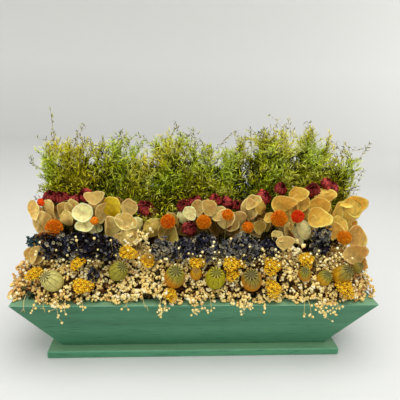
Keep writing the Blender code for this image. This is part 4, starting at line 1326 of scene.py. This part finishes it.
def light_stage():
    """A pale world and soft round lights."""
    world = bpy.data.worlds.new("studio")
    world.use_nodes = True
    world.node_tree.nodes["Background"].inputs["Color"].default_value = (*srgb(232, 232, 232), 1)
    world.node_tree.nodes["Background"].inputs["Strength"].default_value = 0.94
    bpy.context.scene.world = world
    for name, (place, size, power, aim) in LIGHTS.items():
        light = bpy.data.lights.new(name, "AREA")
        light.shape, light.size, light.energy = "DISK", size, power
        made = bpy.data.objects.new(name, light)
        made.location = place
        made.rotation_mode = "QUATERNION"
        made.rotation_quaternion = (Vector(aim) - Vector(place)).to_track_quat("-Z", "Y")
        bpy.context.scene.collection.objects.link(made)
    bpy.context.scene.view_settings.view_transform = "Standard"


def add_camera():
    """A camera with a 36 mm lens on a 36 mm sensor, level but for its pitch and roll."""
    ahead = math.cos(PITCH)
    forward = Vector((math.sin(YAW) * ahead, math.cos(YAW) * ahead, -math.sin(PITCH)))
    level = Vector((math.cos(YAW), -math.sin(YAW), 0))
    over = level.cross(forward)
    right = level * math.cos(ROLL) + over * math.sin(ROLL)
    up = over * math.cos(ROLL) - level * math.sin(ROLL)
    data = bpy.data.cameras.new("camera")
    data.lens, data.sensor_width, data.sensor_height = LENS, SENSOR, SENSOR
    camera = bpy.data.objects.new("camera", data)
    turn = Matrix((right, up, -forward)).transposed().to_4x4()
    camera.matrix_world = Matrix.Translation(CAMERA_PLACE) @ turn
    bpy.context.scene.collection.objects.link(camera)
    bpy.context.scene.camera = camera


# ---- the whole

# Painted shade from foot to tip: each small shape is darker at its foot, where the shapes crowd
STEM_FOOT_SHADE = [(0.0, (150, 150, 150)), (0.6, (235, 235, 235)), (1.0, WHITE)]
FERN_FOOT_SHADE = [(0.0, (110, 110, 110)), (0.5, (225, 225, 225)), (1.0, WHITE)]
CUP_FOOT_SHADE = [(0.0, (40, 40, 40)), (0.3, (70, 70, 70)), (0.8, (170, 170, 170)), (1.0, WHITE)]

# Materials of small shapes: colours by tone, painted shade from foot to tip, roughness, gloss and patches
TONED = {
    "fern_needles": (
        [(0.0, (26, 28, 0)), (0.2, (70, 76, 0)), (0.5, (190, 198, 6)), (0.75, (252, 254, 30)),
         (1.0, (255, 255, 130))],
        FERN_FOOT_SHADE, 0.7, 0.05,
        [(0.36, (234, 255, 224)), (0.5, (255, 255, 236)), (0.64, (255, 240, 176))],
    ),
    "fern_twigs": ([(0.0, (120, 108, 22)), (1.0, (206, 184, 60))], STEM_FOOT_SHADE, 0.7),
    "straw_stems": ([(0.0, (186, 152, 78)), (1.0, (236, 212, 140))], STEM_FOOT_SHADE, 0.75),
    "brown_stalks": ([(0.0, (84, 62, 28)), (1.0, (150, 118, 60))], STEM_FOOT_SHADE, 0.75),
    "green_stems": ([(0.0, (92, 96, 40)), (1.0, (150, 146, 76))], STEM_FOOT_SHADE, 0.75),
    "amaranth_bracts": (
        [(0.0, (255, 190, 30)), (0.4, (255, 146, 4)), (0.7, (255, 92, 4)), (1.0, (255, 48, 14))],
        [(0.0, (170, 110, 80)), (0.45, (236, 220, 205)), (1.0, WHITE)], 0.65,
    ),
    "statice_cups": (
        [(0.0, (18, 13, 11)), (0.1, (46, 30, 20)), (0.18, (30, 29, 32)), (0.28, (48, 48, 92)),
         (0.4, (98, 98, 114)), (0.55, (164, 160, 162)), (0.7, (210, 202, 176)), (0.8, (232, 216, 164)),
         (0.88, (56, 108, 120)), (1.0, (150, 180, 160))],
        CUP_FOOT_SHADE, 0.7,
    ),
    "yarrow_heads": (
        [(0.0, (206, 138, 4)), (0.5, (240, 190, 12)), (1.0, (255, 228, 60))],
        [(0.0, (160, 130, 80)), (0.45, (235, 215, 170)), (1.0, WHITE)], 0.6,
    ),
    "gypsophila_blooms": (
        [(0.0, (222, 170, 100)), (0.25, (240, 198, 122)), (0.5, (255, 228, 142)), (0.75, (255, 240, 168)),
         (1.0, (255, 252, 222))],
        [(0.0, (200, 170, 120)), (0.45, (246, 236, 214)), (1.0, WHITE)], 0.7,
    ),
    "dark_litter": ([(0.0, (70, 30, 16)), (0.5, (120, 70, 30)), (1.0, (176, 130, 62))], STEM_FOOT_SHADE, 0.8),
}

# Materials of large shapes: roughness, the mottle's scale and share, bump, and then subsurface
TINTED = {
    "rose_petals": (0.6, 420, 0.75, 0.6), "honesty_paper": (0.42, 190, 0.4, 0.6, 0.3),
    "pod_skin": (0.5, 300, 0.45, 0.2),
}

# Kinds of plants with heads: table, what adds them, two materials, the end of their pieces' names, and
# a finish name
KINDS = {
    "globe": (GLOBES, add_globes, "amaranth_bracts", "green_stems", "_blooms", "globe_amaranth"),
    "statice": (STATICE, add_statice, "statice_cups", "green_stems", "_blooms", "statice"),
    "yarrow": (YARROW, add_yarrow, "yarrow_heads", "straw_stems", "_blooms", "yarrow"),
    "rosebud": (ROSEBUDS, add_rosebuds, "rose_petals", "green_stems", "_blooms", "dried_rosebud"),
    "lunaria": (companions(LUNARIA), add_lunaria, "honesty_paper", "brown_stalks", "_discs", "lunaria"),
    "poppy": (PODS, add_pods, "pod_skin", "green_stems", "_capsules", "poppy_pod"),
}


def add_plants():
    skins = {name: toned(name, *looks) for name, looks in TONED.items()}
    skins |= {name: tinted(name, *looks) for name, looks in TINTED.items()}
    for node in nodes_of("fern"):
        add_fern(node, skins["fern_needles"], skins["fern_twigs"])
    for kind, (table, add, skin, stalk, name, finish) in KINDS.items():
        add_heads(kind, table, add, [skins[skin], skins[stalk]], name, finish)
    for node, box in FILLER_ROOMS.items():
        materials = [skins["gypsophila_blooms"], skins["straw_stems"], skins["dark_litter"]]
        add_gypsophila(node, box, materials)


add_camera()
add_stage()
light_stage()
finish_box()
add_plants()
